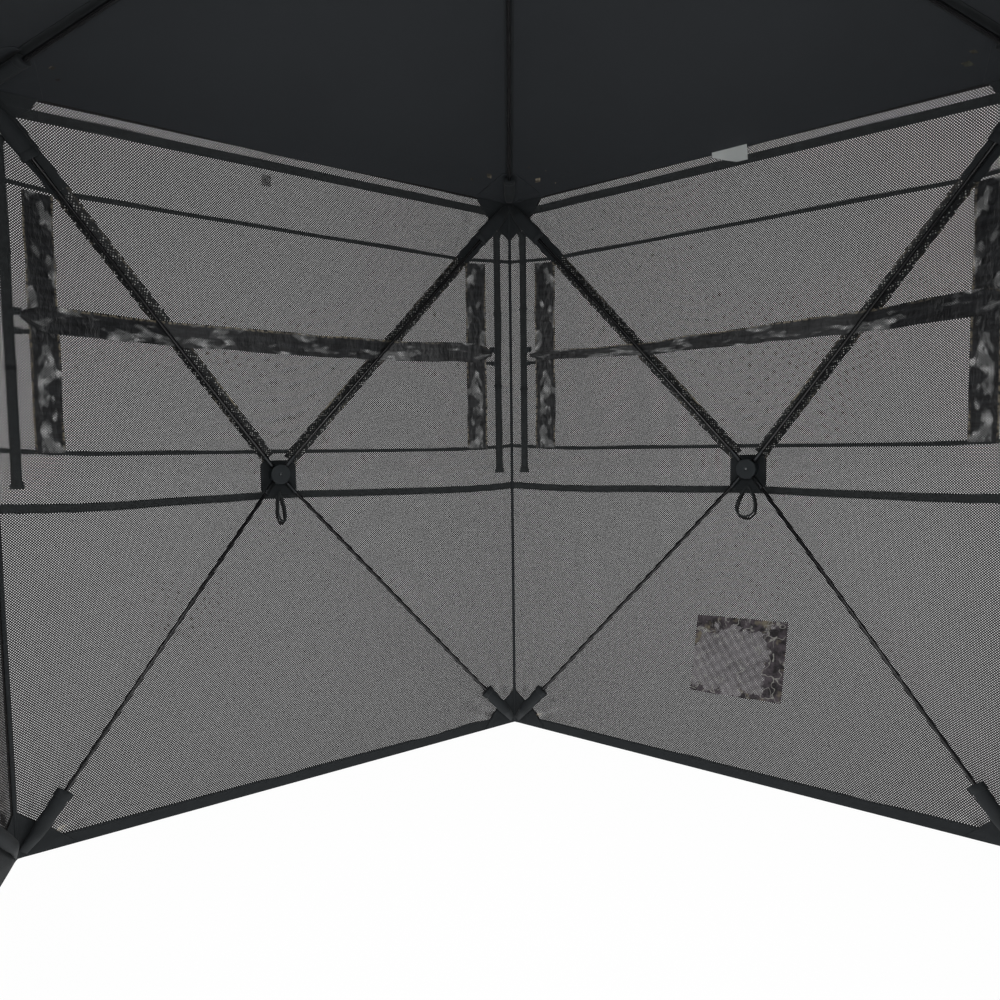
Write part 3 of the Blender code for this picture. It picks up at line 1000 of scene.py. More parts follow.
def build_roof():
    """The roof's five gores, with its edging and patches."""
    for side, angle in SIDES.items():
        piece = cloth_piece(
            f"roof_gore_{side}",
            [roof_gore_rows(angle)],
            roof_point,
            0.0007,
            [FINISHES["roof_in"], FINISHES["camo"]],
        )
        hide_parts("roof_skin")
        edge = ROOF_MIDDLE + outward(angle) * ROOF_APOTHEM
        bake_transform(piece)
    build_roof_edging()
    build_roof_patches()


def build_roof_edging():
    """Black binding folded over the roof's edge, and tape under each ridge seam."""
    for side, angle in SIDES.items():
        normal = outward(angle)
        along = normal.cross(UP)
        half = ROOF_APOTHEM * math.tan(HALF_TURN)
        path = []
        for slide in spread(-1.0, 1.0, 61):
            spot = FLOOR_MIDDLE + normal * (ROOF_APOTHEM - 0.0005) + along * (half * slide)
            wave = 0.0012 * noise.noise(Vector((slide * 9, angle, 0)))
            path.append(Vector((spot.x, spot.y, CORNER_HEIGHT + 0.001 + wave)))
        bm = bmesh.new()
        lay_tube(bm, path, 0.0022, 0.0062, 8, UP)
        piece = add_piece(f"roof_binding_{side}", bm, [FINISHES["patch"]])
        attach(piece, "skins")
    for corner, angle in CORNERS.items():
        way = outward(angle)
        side_way = way.cross(UP)

        def under(a, b, inside):
            spot = FLOOR_MIDDLE + way * b + side_way * a
            share = 1 - b / ROOF_RADIUS
            return Vector((spot.x, spot.y, CORNER_HEIGHT + ROOF_RISE * share - 0.0035 - inside))

        rows = [[(a, b) for a in spread(-0.011, 0.011, 3)] for b in spread(0.10, ROOF_RADIUS - 0.01, 60)]
        piece = cloth_piece(f"roof_ridge_tape_{corner}", [rows], under, 0.0008, [FINISHES["patch"]])
        blend_along_ridge(piece, angle)


def build_roof_patches():
    """Patches at the roof's corners, inside, and at its peak on both sides."""
    reach = 0.15
    for corner, angle in CORNERS.items():
        way = outward(angle)
        side_way = way.cross(UP)
        rows = []
        for back in spread(0.004, reach, 16):
            half = min(back * math.tan(math.radians(54)), (reach - back) * 1.1 + 0.020)
            rows.append([(a * half, ROOF_RADIUS - back) for a in spread(-1, 1, 15)])

        def corner_place(a, b, inside):
            spot = way * b + side_way * a
            return roof_point(spot.x, spot.y + MIDDLE_Y, inside + ROOF_PATCH_INSIDE)

        piece = cloth_piece(
            f"roof_patch_{corner}", [rows], corner_place, PATCH_THICKNESS, [FINISHES["roof_in"]]
        )
        blend_on_roof(piece, ROOF_PATCH_INSIDE)
    size = sizes().hub_patch
    rows = octagon_rows(size, 0.020, 0.0, 0.0)
    for label, inside in (("inner", 0.0024), ("outer", -0.0022)):
        piece = cloth_piece(
            f"roof_hub_patch_{label}",
            [rows],
            lambda a, b, extra: roof_point(a, b + MIDDLE_Y, inside + extra),
            math.copysign(PATCH_THICKNESS, inside),
            [FINISHES["patch"]],
        )
        blend_on_roof(piece, inside)


def octagon_rows(size, trim, across, height, count=15):
    """Rows of a square with trimmed corners, around a middle point."""
    half = size / 2
    rows = []
    for up in spread(-half, half, count):
        reach = half - max(0.0, abs(up) - (half - trim))
        rows.append([(across + reach * s, height + up) for s in spread(-1, 1, count)])
    return rows


def door_rows():
    """Flat points of the door's triangle, from its hinge seam towards the hub."""
    rows = []
    for across in spread(DOOR_SEAM_GAP - HALF_WIDTH, -DOOR_HUB_GAP, 40):
        reach = abs(across) * DOOR_SLOPE - DOOR_EDGE_GAP
        rows.append([(across, HUB_HEIGHT + reach * s) for s in spread(-1, 1, 49)])
    return rows


def ride_door(piece):
    """The piece swings with the door."""
    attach(piece, "door")
    normal = outward(SIDES["front"])
    anchor = wall_point("front", DOOR_SEAM_GAP - HALF_WIDTH, 0, HUB_HEIGHT)
    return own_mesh(piece)


def build_door():
    """The door flap with its bound edges, zip and sliders."""
    build_door_panel()
    build_door_zip()
    build_door_hinge()
    build_zip_sliders()


def build_door_panel():
    """The door's cloth."""
    panel = cloth_piece(
        "door_panel",
        [door_rows()],
        on_wall("front"),
        sizes().cloth,
        [FINISHES["mesh_in"], FINISHES["mesh_out"]],
    )
    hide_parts("door_flap")
    ride_door(panel)


def build_door_zip():
    """Tape and teeth along the door's two free edges, and the tape that the teeth meet on the wall."""
    teeth, lines = [], []
    tape_rows, wall_rows = [], []
    for sense in (-1, 1):
        flap_tape, wall_tape, tooth_line, stitch_line = [], [], [], []
        for across in spread(ZIP_SEAM_GAP - HALF_WIDTH, -DOOR_HUB_GAP, 70):
            edge = abs(across) * DOOR_SLOPE - DOOR_EDGE_GAP
            flap_tape.append([(across, HUB_HEIGHT + sense * (edge + k)) for k in (-0.018, -0.006, 0.006)])
            wall_tape.append([(across, HUB_HEIGHT + sense * (edge + k)) for k in (0.0095, 0.024, 0.038)])
            if across > TEETH_SEAM_GAP - HALF_WIDTH:
                tooth_height = HUB_HEIGHT + sense * (edge + 0.0045)
                tooth_line.append(cloth_point("front", across, tooth_height, -0.0016))
            stitch_line.append(cloth_point("front", across, HUB_HEIGHT + sense * (edge - 0.013), -0.0021))
        tape_rows.append(flap_tape)
        wall_rows.append(wall_tape)
        teeth.append(tooth_line)
        lines.append(stitch_line)
    place = on_wall("front", ZIP_TAPE_INSIDE)
    finishes = [FINISHES["webbing"]]
    ride_door(cloth_piece("door_zip_tape", tape_rows, place, -WEBBING_THICKNESS, finishes))
    ride_door(toothed("door_zip_teeth", teeth))
    ride_door(stitched("door_stitches", lines))
    wall_tape_piece = cloth_piece("front_zip_tape", wall_rows, place, -WEBBING_THICKNESS, finishes)
    blend_on_wall(wall_tape_piece, "front", ZIP_TAPE_INSIDE)


def build_door_hinge():
    """The cloth fold that the door turns on, beside the corner seam."""
    path = [
        wall_point("front", 2 * SEAM_GAP - HALF_WIDTH, 0.0015, height)
        for height in spread(0.12, CORNER_HEIGHT - 0.12, 50)
    ]
    bm = bmesh.new()
    lay_tube(bm, path, 0.0022, 0.0018, 8, outward(SIDES["front"]))
    ride_door(add_piece("door_hinge_fold", bm, [FINISHES["patch"]]))


def build_zip_sliders():
    """A slider with a hanging pull on each of the door's zips, near the hub."""
    bm = bmesh.new()
    across = -ZIP_SLIDER_GAP
    normal = outward(SIDES["front"])
    for sense in (-1, 1):
        height = HUB_HEIGHT + sense * (abs(across) * DOOR_SLOPE - DOOR_EDGE_GAP + 0.004)
        seat = cloth_point("front", across, height, -0.0050)
        far_end = wall_point("front", -1, 0, HUB_HEIGHT + sense * DOOR_SLOPE)
        run = (far_end - wall_point("front", 0, 0, HUB_HEIGHT)).normalized()
        body = [seat + run * k for k in spread(-0.007, 0.007, 7)]
        lay_tube(bm, body, [0.0035, 0.0048, 0.005, 0.005, 0.005, 0.0042, 0.003], 0.0032, 12, normal)
        top = seat + normal * 0.004
        ring = [
            top + UP * (-0.006 + 0.006 * math.cos(t)) + normal.cross(UP) * (0.0035 * math.sin(t))
            for t in spread(0, math.tau * 19 / 20, 20)
        ]
        lay_tube(bm, ring, 0.0008, 0.0008, 6, normal, closed=True)
        tab = [top + UP * (-0.012 - k) for k in spread(0, 0.026, 8)]
        lay_tube(bm, tab, [0.002, 0.0034, 0.004, 0.004, 0.004, 0.0038, 0.003, 0.0015], 0.0011, 10, normal)
    ride_door(add_piece("door_zip_sliders", bm, [FINISHES["metal"]]))


# ------------------------------------------------------------------ webbing, hems and patches


def band_height(across, height):
    """A band's height along a wall: the low ones climb a little to the corners."""
    climb = 0.010 * max(0.0, (abs(across) - 0.42) / 0.24) ** 2 if height < 1.0 else 0.0
    return height + climb + 0.0012 * noise.noise(Vector((across * 5, height * 3, 0.7)))


def band_rows(height, width, steps=132):
    """Flat rows of a level band across a wall."""
    end = HALF_WIDTH - 0.003
    line = [(across, band_height(across, height)) for across in spread(-end, end, steps)]
    return [[(across, level + k * width / 2) for across, level in line] for k in (-1, 0, 1)]


def strap_rows(across):
    """Flat rows of an upright strap whose ends widen into sewn tabs."""
    rows = []
    half = sizes().band_width / 2
    for height in spread(STRAP_LOW, STRAP_HIGH, 90):
        to_end = min(height - STRAP_LOW, STRAP_HIGH - height)
        wide = half * (1.35 if to_end < 0.014 else 1.0)
        ripple = 0.0012 * noise.noise(Vector((across, height * 6, 0)))
        rows.append([(across + k * wide + ripple, height) for k in (-1, 0, 1)])
    return rows


def build_webbing():
    """Level bands on every wall, and tapes and upright straps on the window walls."""
    size = sizes()
    for side in SIDES:
        place = on_wall(side, BAND_INSIDE)
        wide = [band_rows(BAND_HEIGHT, size.band_width)]
        if side in WINDOW_SIDES:
            wide.append(band_rows(HUB_BAND_HEIGHT, size.band_width))
        bands = cloth_piece(f"{side}_bands", wide, place, WEBBING_THICKNESS, [FINISHES["webbing"]])
        blend_on_wall(bands, side, BAND_INSIDE)
        lines = band_stitch_lines(side, BAND_HEIGHT, size.band_width)
        if side in WINDOW_SIDES:
            tapes = [band_rows(height, size.tape_width) for height in TAPE_HEIGHTS]
            tape = cloth_piece(f"{side}_tapes", tapes, place, TAPE_THICKNESS, [FINISHES["webbing"]])
            blend_on_wall(tape, side, BAND_INSIDE)
            build_straps(side)
            lines += band_stitch_lines(side, HUB_BAND_HEIGHT, size.band_width)
            for height in TAPE_HEIGHTS:
                lines += band_stitch_lines(side, height, size.tape_width)
        blend_on_wall(stitched(f"{side}_band_stitches", lines), side, BAND_INSIDE)
        middle = [[place(across, BAND_HEIGHT, TAPE_THICKNESS) for across in spread(-TACK_END, TACK_END, 60)]]
        blend_on_wall(tacked(f"{side}_band_tacks", middle, 0.14, size.band_width * 0.8), side, BAND_INSIDE)


def band_stitch_lines(side, height, width):
    """Stitch lines near both edges of a band, or along the middle of a narrow tape."""
    inset = width / 2 - 0.002
    place = on_wall(side, BAND_STITCH_INSIDE)
    return [
        [place(a, band_height(a, height) + k * inset) for a in spread(-STITCH_END, STITCH_END, 132)]
        for k in ((-1, 1) if width > 0.015 else (0,))
    ]


def build_straps(side):
    """The two upright straps that hold the window strip's hooks, with their keepers."""
    sheets, lines = [], []
    for sense in (-1, 1):
        across = sense * (HALF_WIDTH - STRAP_IN)
        sheets.append(strap_rows(across))
        for height in KEEPER_HEIGHTS[sense]:
            levels = [height + m * KEEPER_HALF_HEIGHT for m in (-1, 0, 1)]
            sheets.append([[(across + k * KEEPER_HALF_WIDTH, level) for k in (-1, 0, 1)] for level in levels])
        for shift in (-0.008, 0.008):
            lines.append([cloth_point(side, across + shift, h, 0.0037) for h in spread(0.80, 1.51, 60)])
        for height in (STRAP_LOW + 0.005, STRAP_LOW + 0.011, STRAP_HIGH - 0.005, STRAP_HIGH - 0.011):
            lines.append([cloth_point(side, across + k, height, 0.0039) for k in spread(-0.011, 0.011, 4)])
    place = on_wall(side, STRAP_INSIDE)
    straps = cloth_piece(f"{side}_straps", sheets, place, WEBBING_THICKNESS, [FINISHES["webbing"]])
    blend_on_wall(straps, side, STRAP_INSIDE)
    blend_on_wall(stitched(f"{side}_strap_stitches", lines), side, STRAP_INSIDE)


def build_hems():
    """The bottom hems and the corner seams' binding."""
    size = sizes()
    for side in SIDES:
        rows = []
        for level in (0.0006, size.hem_width / 2, size.hem_width):
            row = []
            for across in spread(-HALF_WIDTH + 0.003, HALF_WIDTH - 0.003, 120):
                wave = 0.004 * noise.noise(Vector((across * 7, SIDES[side], 2.0)))
                row.append((across, level + (wave if level > 0.02 else 0.0)))
            rows.append(row)
        for where, lay in (("inner", 1), ("outer", -1)):
            place = on_wall(side, lay * HEM_INSIDE)
            hem = cloth_piece(f"{side}_hem_{where}", [rows], place, lay * HEM_THICKNESS, [FINISHES["patch"]])
            blend_on_wall(hem, side, lay * HEM_INSIDE)
        place = on_wall(side, HEM_STITCH_INSIDE)
        line = [place(across, size.hem_width - 0.004) for across in spread(-STITCH_END, STITCH_END, 100)]
        blend_on_wall(stitched(f"{side}_hem_stitches", [line]), side, HEM_STITCH_INSIDE)
    for corner, angle in CORNERS.items():
        build_corner_binding(corner, angle)


def build_corner_binding(corner, angle):
    """Folded binding over an upright seam. The door's own fold covers its seam outside."""
    way = outward(angle)
    by_hinge = corner == "front_right"
    layers = {"inner": 0.0078} if by_hinge else {"inner": 0.0035, "outer": -0.0030}
    half_wide, half_thick = (0.0024, 0.0019) if by_hinge else (0.0046, 0.0022)
    for where, depth in layers.items():
        path = []
        for height in spread(0.004, CORNER_HEIGHT - 0.004, 90):
            ripple = 0.0010 * noise.noise(Vector((angle, height * 5, depth * 90)))
            path.append(Vector((0, MIDDLE_Y, height)) + way * (SEAM_RADIUS - depth + ripple))
        bm = bmesh.new()
        lay_tube(bm, path, half_wide, half_thick, 10, way)
        piece = add_piece(f"corner_binding_{corner}_{where}", bm, [FINISHES["patch"]])
        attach(piece, "skins")


# Corner patches: distance from the wall's edge, and reach along it, for a patch whose reach is PATCH_REACH
PATCH_REACH = 0.110
PATCH_TIP = 0.100
LOW_PATCH = ((0.0, PATCH_REACH), (0.0395, 0.0676), (0.058, 0.040), (PATCH_TIP, 0.001))
HIGH_PATCH = ((0.0, PATCH_REACH), (0.0245, 0.091), (0.044, 0.066), (0.070, 0.040), (PATCH_TIP, 0.001))


def corner_patch_rows(side, sense, lift):
    """Flat rows of a corner patch, with long feet along the seam and the edge."""
    outline = HIGH_PATCH if lift > 0 else LOW_PATCH
    grow = sizes().corner_patch / PATCH_REACH
    by_door = (side, sense) == ("front", -1)
    rows = []
    for (up, wide), (next_up, next_wide) in zip(outline, outline[1:]):
        for k in spread(0, 1, 6)[: None if next_up == PATCH_TIP else -1]:
            reach = grow * (wide + (next_wide - wide) * k)
            off = 0.0015 + grow * (up + (next_up - up) * k)
            height = off if lift < 0 else CORNER_HEIGHT - off
            near = min(off * HALF_WIDTH / HUB_HEIGHT, reach * 0.96) if by_door else 0.0
            from_seam = [0.0022 + near + (reach - near) * m for m in spread(0, 1, 14)]
            rows.append([(sense * (HALF_WIDTH - gap), height) for gap in from_seam])
    return rows


def diagonal_place(side, sense, lift, inside):
    """Places points given as (off the rod's line, distance from the corner) on a wall."""

    def place(off, run, extra=0.0):
        left = 1 - run / HALF_DIAGONAL
        across = sense * (HALF_WIDTH * left + off * HUB_HEIGHT / HALF_DIAGONAL)
        height = HUB_HEIGHT + lift * (HUB_HEIGHT * left - off * HALF_WIDTH / HALF_DIAGONAL)
        return cloth_point(side, across, height, inside + extra)

    return place


def build_patches():
    """Corner patches, hub patches and the strips sewn behind the upper rods."""
    for side in SIDES:
        for arm, (sense, lift) in ARMS.items():
            rows = corner_patch_rows(side, sense, lift)
            for where, lay in (("inner", 1), ("outer", -1)):
                piece = cloth_piece(
                    f"{side}_patch_{arm}_{where}",
                    [rows],
                    on_wall(side, lay * PATCH_INSIDE),
                    lay * PATCH_THICKNESS,
                    [FINISHES["patch"]],
                )
                blend_on_wall(piece, side, lay * PATCH_INSIDE)
            if lift > 0:
                build_backing(side, arm, sense, lift)
        build_hub_patches(side)


def build_backing(side, arm, sense, lift):
    """The strip behind an upper rod: plain near the corner, peppered mesh on to the hub."""
    half = sizes().backing_width / 2
    place = diagonal_place(side, sense, lift, BACKING_INSIDE)
    lean = -0.008 if (side, arm) == ("back_left", "upper_left") else 0.0
    turn = (CORNER_HEIGHT - UPPER_TAPE_HEIGHT) * HALF_DIAGONAL / HUB_HEIGHT
    spans = (("plain", 0.045, turn + 0.010, "patch"), ("mesh", turn, HALF_DIAGONAL - 0.052, "backing"))
    for label, first, last, finish in spans:
        rows = []
        for run in spread(first, last, 70):
            wave = 0.0016 * noise.noise(Vector((run * 16, sense, SIDES[side])))
            rows.append([(k * half + wave * abs(k), run) for k in (-1, -0.5, 0, 0.5, 1)])
        piece = cloth_piece(
            f"{side}_backing_{label}_{arm}",
            [rows],
            lambda off, run, extra: place(off + lean, run, extra),
            WEBBING_THICKNESS,
            [FINISHES[finish]],
        )
        blend_on_wall(piece, side, BACKING_INSIDE)


def build_hub_patches(side):
    """The black patch behind a wall's hub, inside, and its partner outside with a pull loop."""
    size = sizes()
    middle = HUB_HEIGHT - 0.010
    rows = octagon_rows(size.hub_patch, 0.014, 0.0, middle)
    for where, inside in (("inner", HUB_PATCH_INSIDE), ("outer", -PATCH_INSIDE)):
        thick = math.copysign(HUB_PATCH_THICKNESS, inside)
        piece = cloth_piece(
            f"{side}_hub_patch_{where}", [rows], on_wall(side, inside), thick, [FINISHES["patch"]]
        )
        blend_on_wall(piece, side, inside)
    half = size.hub_patch / 2 - 0.004
    square = [(-half, -half), (half, -half), (half, half), (-half, half), (-half, -half)]
    place = on_wall(side, HUB_STITCH_INSIDE)
    line = []
    for (a0, h0), (a1, h1) in zip(square, square[1:]):
        for k in spread(0, 0.98, 10):
            line.append(place(a0 + (a1 - a0) * k, middle + h0 + (h1 - h0) * k))
    blend_on_wall(stitched(f"{side}_hub_patch_stitches", [line]), side, HUB_STITCH_INSIDE)


# ------------------------------------------------------------------ window strips and curtains


def crinkle(across, height, seed):
    """Gathers of a narrow cloth, as a depth."""
    long_wave = noise.noise(Vector((across * 26, height * 9, seed)))
    short_wave = noise.noise(Vector((across * 70, height * 34, seed + 5)))
    return 0.0021 * long_wave + 0.0010 * short_wave


def strip_shape(side, across):
    """Share of the full width, and height off the middle: one wall's strip narrows towards a corner."""
    if side != "back_right":
        return 1.0, 0.0
    share = min(1.0, max(0.0, (across + 0.45) / 0.95))
    return 0.50 + 0.50 * share, -0.010 + 0.020 * share


def build_window_strips():
    """The gathered strip across each window, with its tapered ends, tapes and ladder hooks."""
    middle = (STRIP_LOW + STRIP_HIGH) / 2
    half = (STRIP_HIGH - STRIP_LOW) / 2
    end = HALF_WIDTH - STRIP_END - 0.012
    for number, side in enumerate(WINDOW_SIDES):

        def place(a, h, extra):
            taper = min(1.0, 0.30 + max(0.0, end - abs(a)) / 0.060)
            wave = 0.0030 * noise.noise(Vector((a * 11, number * 3.1, 0.5)))
            shape, shift = strip_shape(side, a)
            height = middle + shift + h * taper * shape + wave + 0.004 * (1 - taper)
            inside = STRIP_INSIDE + crinkle(a, h, number * 2.3)
            return cloth_point(side, a, height, inside + extra)

        rows = [[(a, k * half) for a in spread(-end, end, 190)] for k in spread(-1, 1, 13)]
        piece = cloth_piece(f"{side}_strip_cloth", [rows], place, 0.0007, [FINISHES["strip"]])
        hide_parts(f"{side}_window_strip")
        blend_on_wall(piece, side, STRIP_INSIDE)
        build_hooks(side, middle, end)


def build_hooks(side, middle, end):
    """Ladder hooks on the straps: one pair for the strip's ends, one for the curtains' ties."""
    bm = bmesh.new()
    tapes = []
    normal = outward(SIDES[side])
    along = normal.cross(UP)
    for sense in (-1, 1):
        strap = sense * (HALF_WIDTH - STRAP_IN)
        for height in (middle + 0.010, middle - 0.030):
            at = strap - sense * 0.017
            seat = cloth_point(side, at, height, HOOK_INSIDE)
            for bar in (-0.0065, 0.0, 0.0065):
                rail = [seat + along * k + UP * bar for k in spread(-0.006, 0.006, 5)]
                lay_tube(bm, rail, 0.0012, 0.0012, 8, normal)
            for bar in (-0.006, 0.0, 0.006):
                rung = [seat + along * bar + UP * k for k in spread(-0.0075, 0.0075, 6)]
                lay_tube(bm, rung, 0.0014, 0.0014, 8, normal)
            inner_end = end - 0.004 if height > middle else HALF_WIDTH - CURTAIN_IN - 0.002
            run = spread(strap - sense * 0.002, sense * inner_end, 14)
            tapes.append([[(across, height + k * 0.005) for across in run] for k in (-1, 1)])
    hooks = add_piece(f"{side}_ladder_hooks", bm, [FINISHES["plastic"]])
    blend_on_wall(hooks, side, HOOK_INSIDE)
    tape = cloth_piece(
        f"{side}_hook_tapes", tapes, on_wall(side, HOOK_TAPE_INSIDE), TAPE_THICKNESS, [FINISHES["webbing"]]
    )
    blend_on_wall(tape, side, HOOK_TAPE_INSIDE)


def build_curtains():
    """The crinkled upright curtains, which slide along the window's tapes."""
    outer = HALF_WIDTH - CURTAIN_IN
    centre = outer - CURTAIN_WIDTH / 2
    middle = (CURTAIN_LOW + CURTAIN_HIGH) / 2
    tall = CURTAIN_HIGH - CURTAIN_LOW
    for number, side in enumerate(WINDOW_SIDES):
        for hand, sense in (("left", -1), ("right", 1)):
            seed = number * 4.7 + sense

            def place(a, h, extra):
                wave = 0.0020 * noise.noise(Vector((h * 14, seed, 1.5)))
                across = sense * (centre + a + wave)
                depth = BULGE * share_to_hub(across, HUB_HEIGHT) - CURTAIN_DEPTH - crinkle(a, h, seed) * 0.6
                return wall_point(side, across, depth - extra, middle + h)

            rows = [
                [(a, h) for a in spread(-CURTAIN_WIDTH / 2, CURTAIN_WIDTH / 2, 17)]
                for h in spread(-tall / 2, tall / 2, 110)
            ]
            piece = cloth_piece(
                f"{side}_curtain_cloth_{hand}", [rows], place, 0.0006, [FINISHES["curtain"]]
            )
            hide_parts(f"{side}_curtain_{hand}")
            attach(piece, f"{side}_curtain_{hand}")
            normal = outward(SIDES[side])
            anchor = wall_point(side, sense * outer, CURTAIN_FOLD_DEPTH, middle)
            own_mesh(piece)


# ------------------------------------------------------------------ rods, pockets and hubs


def rod_path(side, sense, lift, first, last, steps):
    """Points along a wall rod, from a distance off the corner to one off the pivot."""
    size = sizes()
    radial = Vector((sense * HALF_WIDTH, lift * HUB_HEIGHT)) / HALF_DIAGONAL
    points = []
    for run in spread(first, last, steps):
        reach = HALF_DIAGONAL - run
        share = 1 - reach / HALF_DIAGONAL
        bow = 4 * size.rod_bow * share * (1 - share)
        depth = BULGE * share - PIVOT_DEPTH + BULGE * PIVOT_RADIUS / HALF_DIAGONAL + bow
        points.append(wall_point(side, radial.x * reach, depth, HUB_HEIGHT + radial.y * reach))
    return points


def roof_rod_path(angle, first, last, steps):
    """Points along a roof rod, from a distance off the corner."""
    size = sizes()
    points = []
    for run in spread(first, last, steps):
        reach = SEAM_RADIUS - run
        share = 1 - reach / SEAM_RADIUS
        bow = 4 * size.rod_bow * share * (1 - share)
        height = CORNER_HEIGHT + ROOF_RISE * share - PIVOT_DEPTH
        height += ROOF_RISE * PIVOT_RADIUS / SEAM_RADIUS + bow
        spot = outward(angle) * reach
        points.append(Vector((spot.x, spot.y + MIDDLE_Y, height)))
    return points


def lay_rod(bm, path, normal):
    """A rod with a metal ferrule near its hub end and a rounded cap in its pocket."""
    size = sizes()
    radius = size.rod_radius
    lay_tube(bm, path, radius, radius, 14, normal, 0)
    hub_end, before = path[-1], path[-4]
    way = (hub_end - before).normalized()
    ferrule = [hub_end - way * (0.052 - k) for k in (0, 0.001, 0.002, 0.034, 0.036, 0.037)]
    rings = [radius, radius * 1.18, radius * 1.22, radius * 1.22, radius * 1.18, radius]
    lay_tube(bm, ferrule, rings, rings, 14, normal, 1)
    tip = path[0]
    out = (path[0] - path[1]).normalized()
    cap = [tip + out * k for k in (-0.012, -0.011, 0.0, 0.004, 0.006, 0.007)]
    caps = [radius, radius * 1.25, radius * 1.3, radius * 1.15, radius * 0.7, radius * 0.2]
    lay_tube(bm, cap, caps, caps, 14, normal, 2)


def build_rods():
    """Rods with their ferrules and caps, and the pockets that hold their tips."""
    finishes = [FINISHES["rod"], FINISHES["ferrule"], FINISHES["plastic"]]
    wall_centre = HALF_DIAGONAL - PIVOT_RADIUS
    for side in SIDES:
        normal = outward(SIDES[side])
        for arm, (sense, lift) in ARMS.items():
            bm = bmesh.new()
            lay_rod(bm, rod_path(side, sense, lift, WALL_TIP_INSET, wall_centre, 40), normal)
            piece = add_piece(f"{side}_shaft_{arm}", bm, finishes)
            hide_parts(f"{side}_rod_{arm}")
            corner = wall_point(side, sense * HALF_WIDTH, 0, HUB_HEIGHT * (1 + lift))
            hub = wall_point(side, 0, 0, HUB_HEIGHT)
            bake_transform(piece)
            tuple(corner)
            build_pocket(side, arm, sense, lift, corner)
    for corner, angle in CORNERS.items():
        bm = bmesh.new()
        last = SEAM_RADIUS - PIVOT_RADIUS
        lay_rod(bm, roof_rod_path(angle, ROOF_TIP_INSET, last, 40), UP)
        piece = add_piece(f"roof_shaft_{corner}", bm, finishes)
        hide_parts(f"roof_rod_{corner}")
        blend_along_ridge(piece, angle)
        bm = bmesh.new()
        lay_pocket(bm, roof_rod_path(angle, 0.020, 0.140, 18), UP, 0.0150, 1.08)
        pocket = add_piece(f"roof_pocket_{corner}", bm, [FINISHES["patch"]])
        blend_along_ridge(pocket, angle)


def lay_pocket(bm, path, normal, half, mouth):
    """A flattened sleeve around a rod's tip, flat against the corner and hemmed at its mouth."""
    count = len(path)
    wides, highs, spots = [], [], []
    for i, spot in enumerate(path):
        share = i / (count - 1)
        swell = min(1.0, 3.2 * share)
        wides.append(half * (0.55 + 0.45 * min(1.0, 2 * share)))
        highs.append(0.0015 + 0.0078 * swell + 0.0004 * math.sin(11 * share))
        spots.append(spot + normal * (0.014 * (1 - swell)))
    lay_tube(bm, spots, wides, highs, 20, normal)
    way = (spots[-1] - spots[-2]).normalized()
    hem = [spots[-1] + way * k for k in (-0.013, -0.012, 0.003, 0.004)]
    hem_wides = [half, half * mouth, half * mouth, half]
    lay_tube(bm, hem, hem_wides, [0.0094, 0.0101, 0.0103, 0.0092], 20, normal)


def build_pocket(side, arm, sense, lift, corner):
    """One wall pocket around its rod's tip."""
    size = sizes()
    bm = bmesh.new()
    path = rod_path(side, sense, lift, 0.018, size.pocket_length, 20)
    half = size.pocket_width / 2 if lift < 0 else size.backing_width / 2
    lay_pocket(bm, path, outward(SIDES[side]), half, 1.16 if lift < 0 else 1.0)
    piece = add_piece(f"{side}_pocket_{arm}", bm, [FINISHES["patch"]])
    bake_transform(piece)
    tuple(corner)


def build_hubs():
    """Finishes for the hubs, the screw in each cover, and the pull loops."""
    for key in [*SIDES, "roof"]:
        for part in ("hub_body", "hub_cover"):
            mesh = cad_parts[f"{key}_{part}"].data
            mesh.materials.clear()
            mesh.materials.append(FINISHES["plastic"])
    for key in [*SIDES, "roof"]:
        build_hub_screw(key)
    for key in SIDES:
        build_pull_loop(key)


def build_hub_screw(key):
    """The screw in a hub's cover, sunk a little into its inner face."""
    low, high = (Vector(corner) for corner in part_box(f"{key}_hub_cover"))
    inward = -UP if key == "roof" else -outward(SIDES[key])
    middle = (low + high) / 2
    verts = [vert.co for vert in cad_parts[f"{key}_hub_cover"].data.vertices]
    face = max((vert - middle).dot(inward) for vert in verts)
    bm = bmesh.new()
    lay_screw(bm, middle + inward * (face - SCREW_SUNK), inward)
    piece = add_piece(f"{key}_hub_screw", bm, [FINISHES["metal"]])
    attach(piece, f"{key}_hub")


def lay_screw(bm, seat, way):
    """A small cap screw with a domed head and a socket."""
    side_way = way.cross(Vector((0.3, 0.2, 1.0))).normalized()
    heights = (0.0, 0.0012, 0.0018, 0.0021, 0.0021, 0.0011)
    radii = (0.0026, 0.0026, 0.0021, 0.0013, 0.0012, 0.0010)
    path = [seat + way * h for h in heights]
    rings = []
    second = way.cross(side_way)
    for spot, radius in zip(path, radii):
        ring = ring_about(spot, side_way, second, radius, radius, 16)
        rings.append([bm.verts.new(point) for point in ring])
    for first, after in zip(rings, rings[1:]):
        for j in range(16):
            k = (j + 1) % 16
            bm.faces.new((first[j], first[k], after[k], after[j]))
    bm.faces.new(rings[0])
    bm.faces.new(rings[-1])


LOOP_WIDTHS = {"back_left": 0.030, "back_right": 0.068, "left": 0.044, "right": 0.036, "front": 0.040}


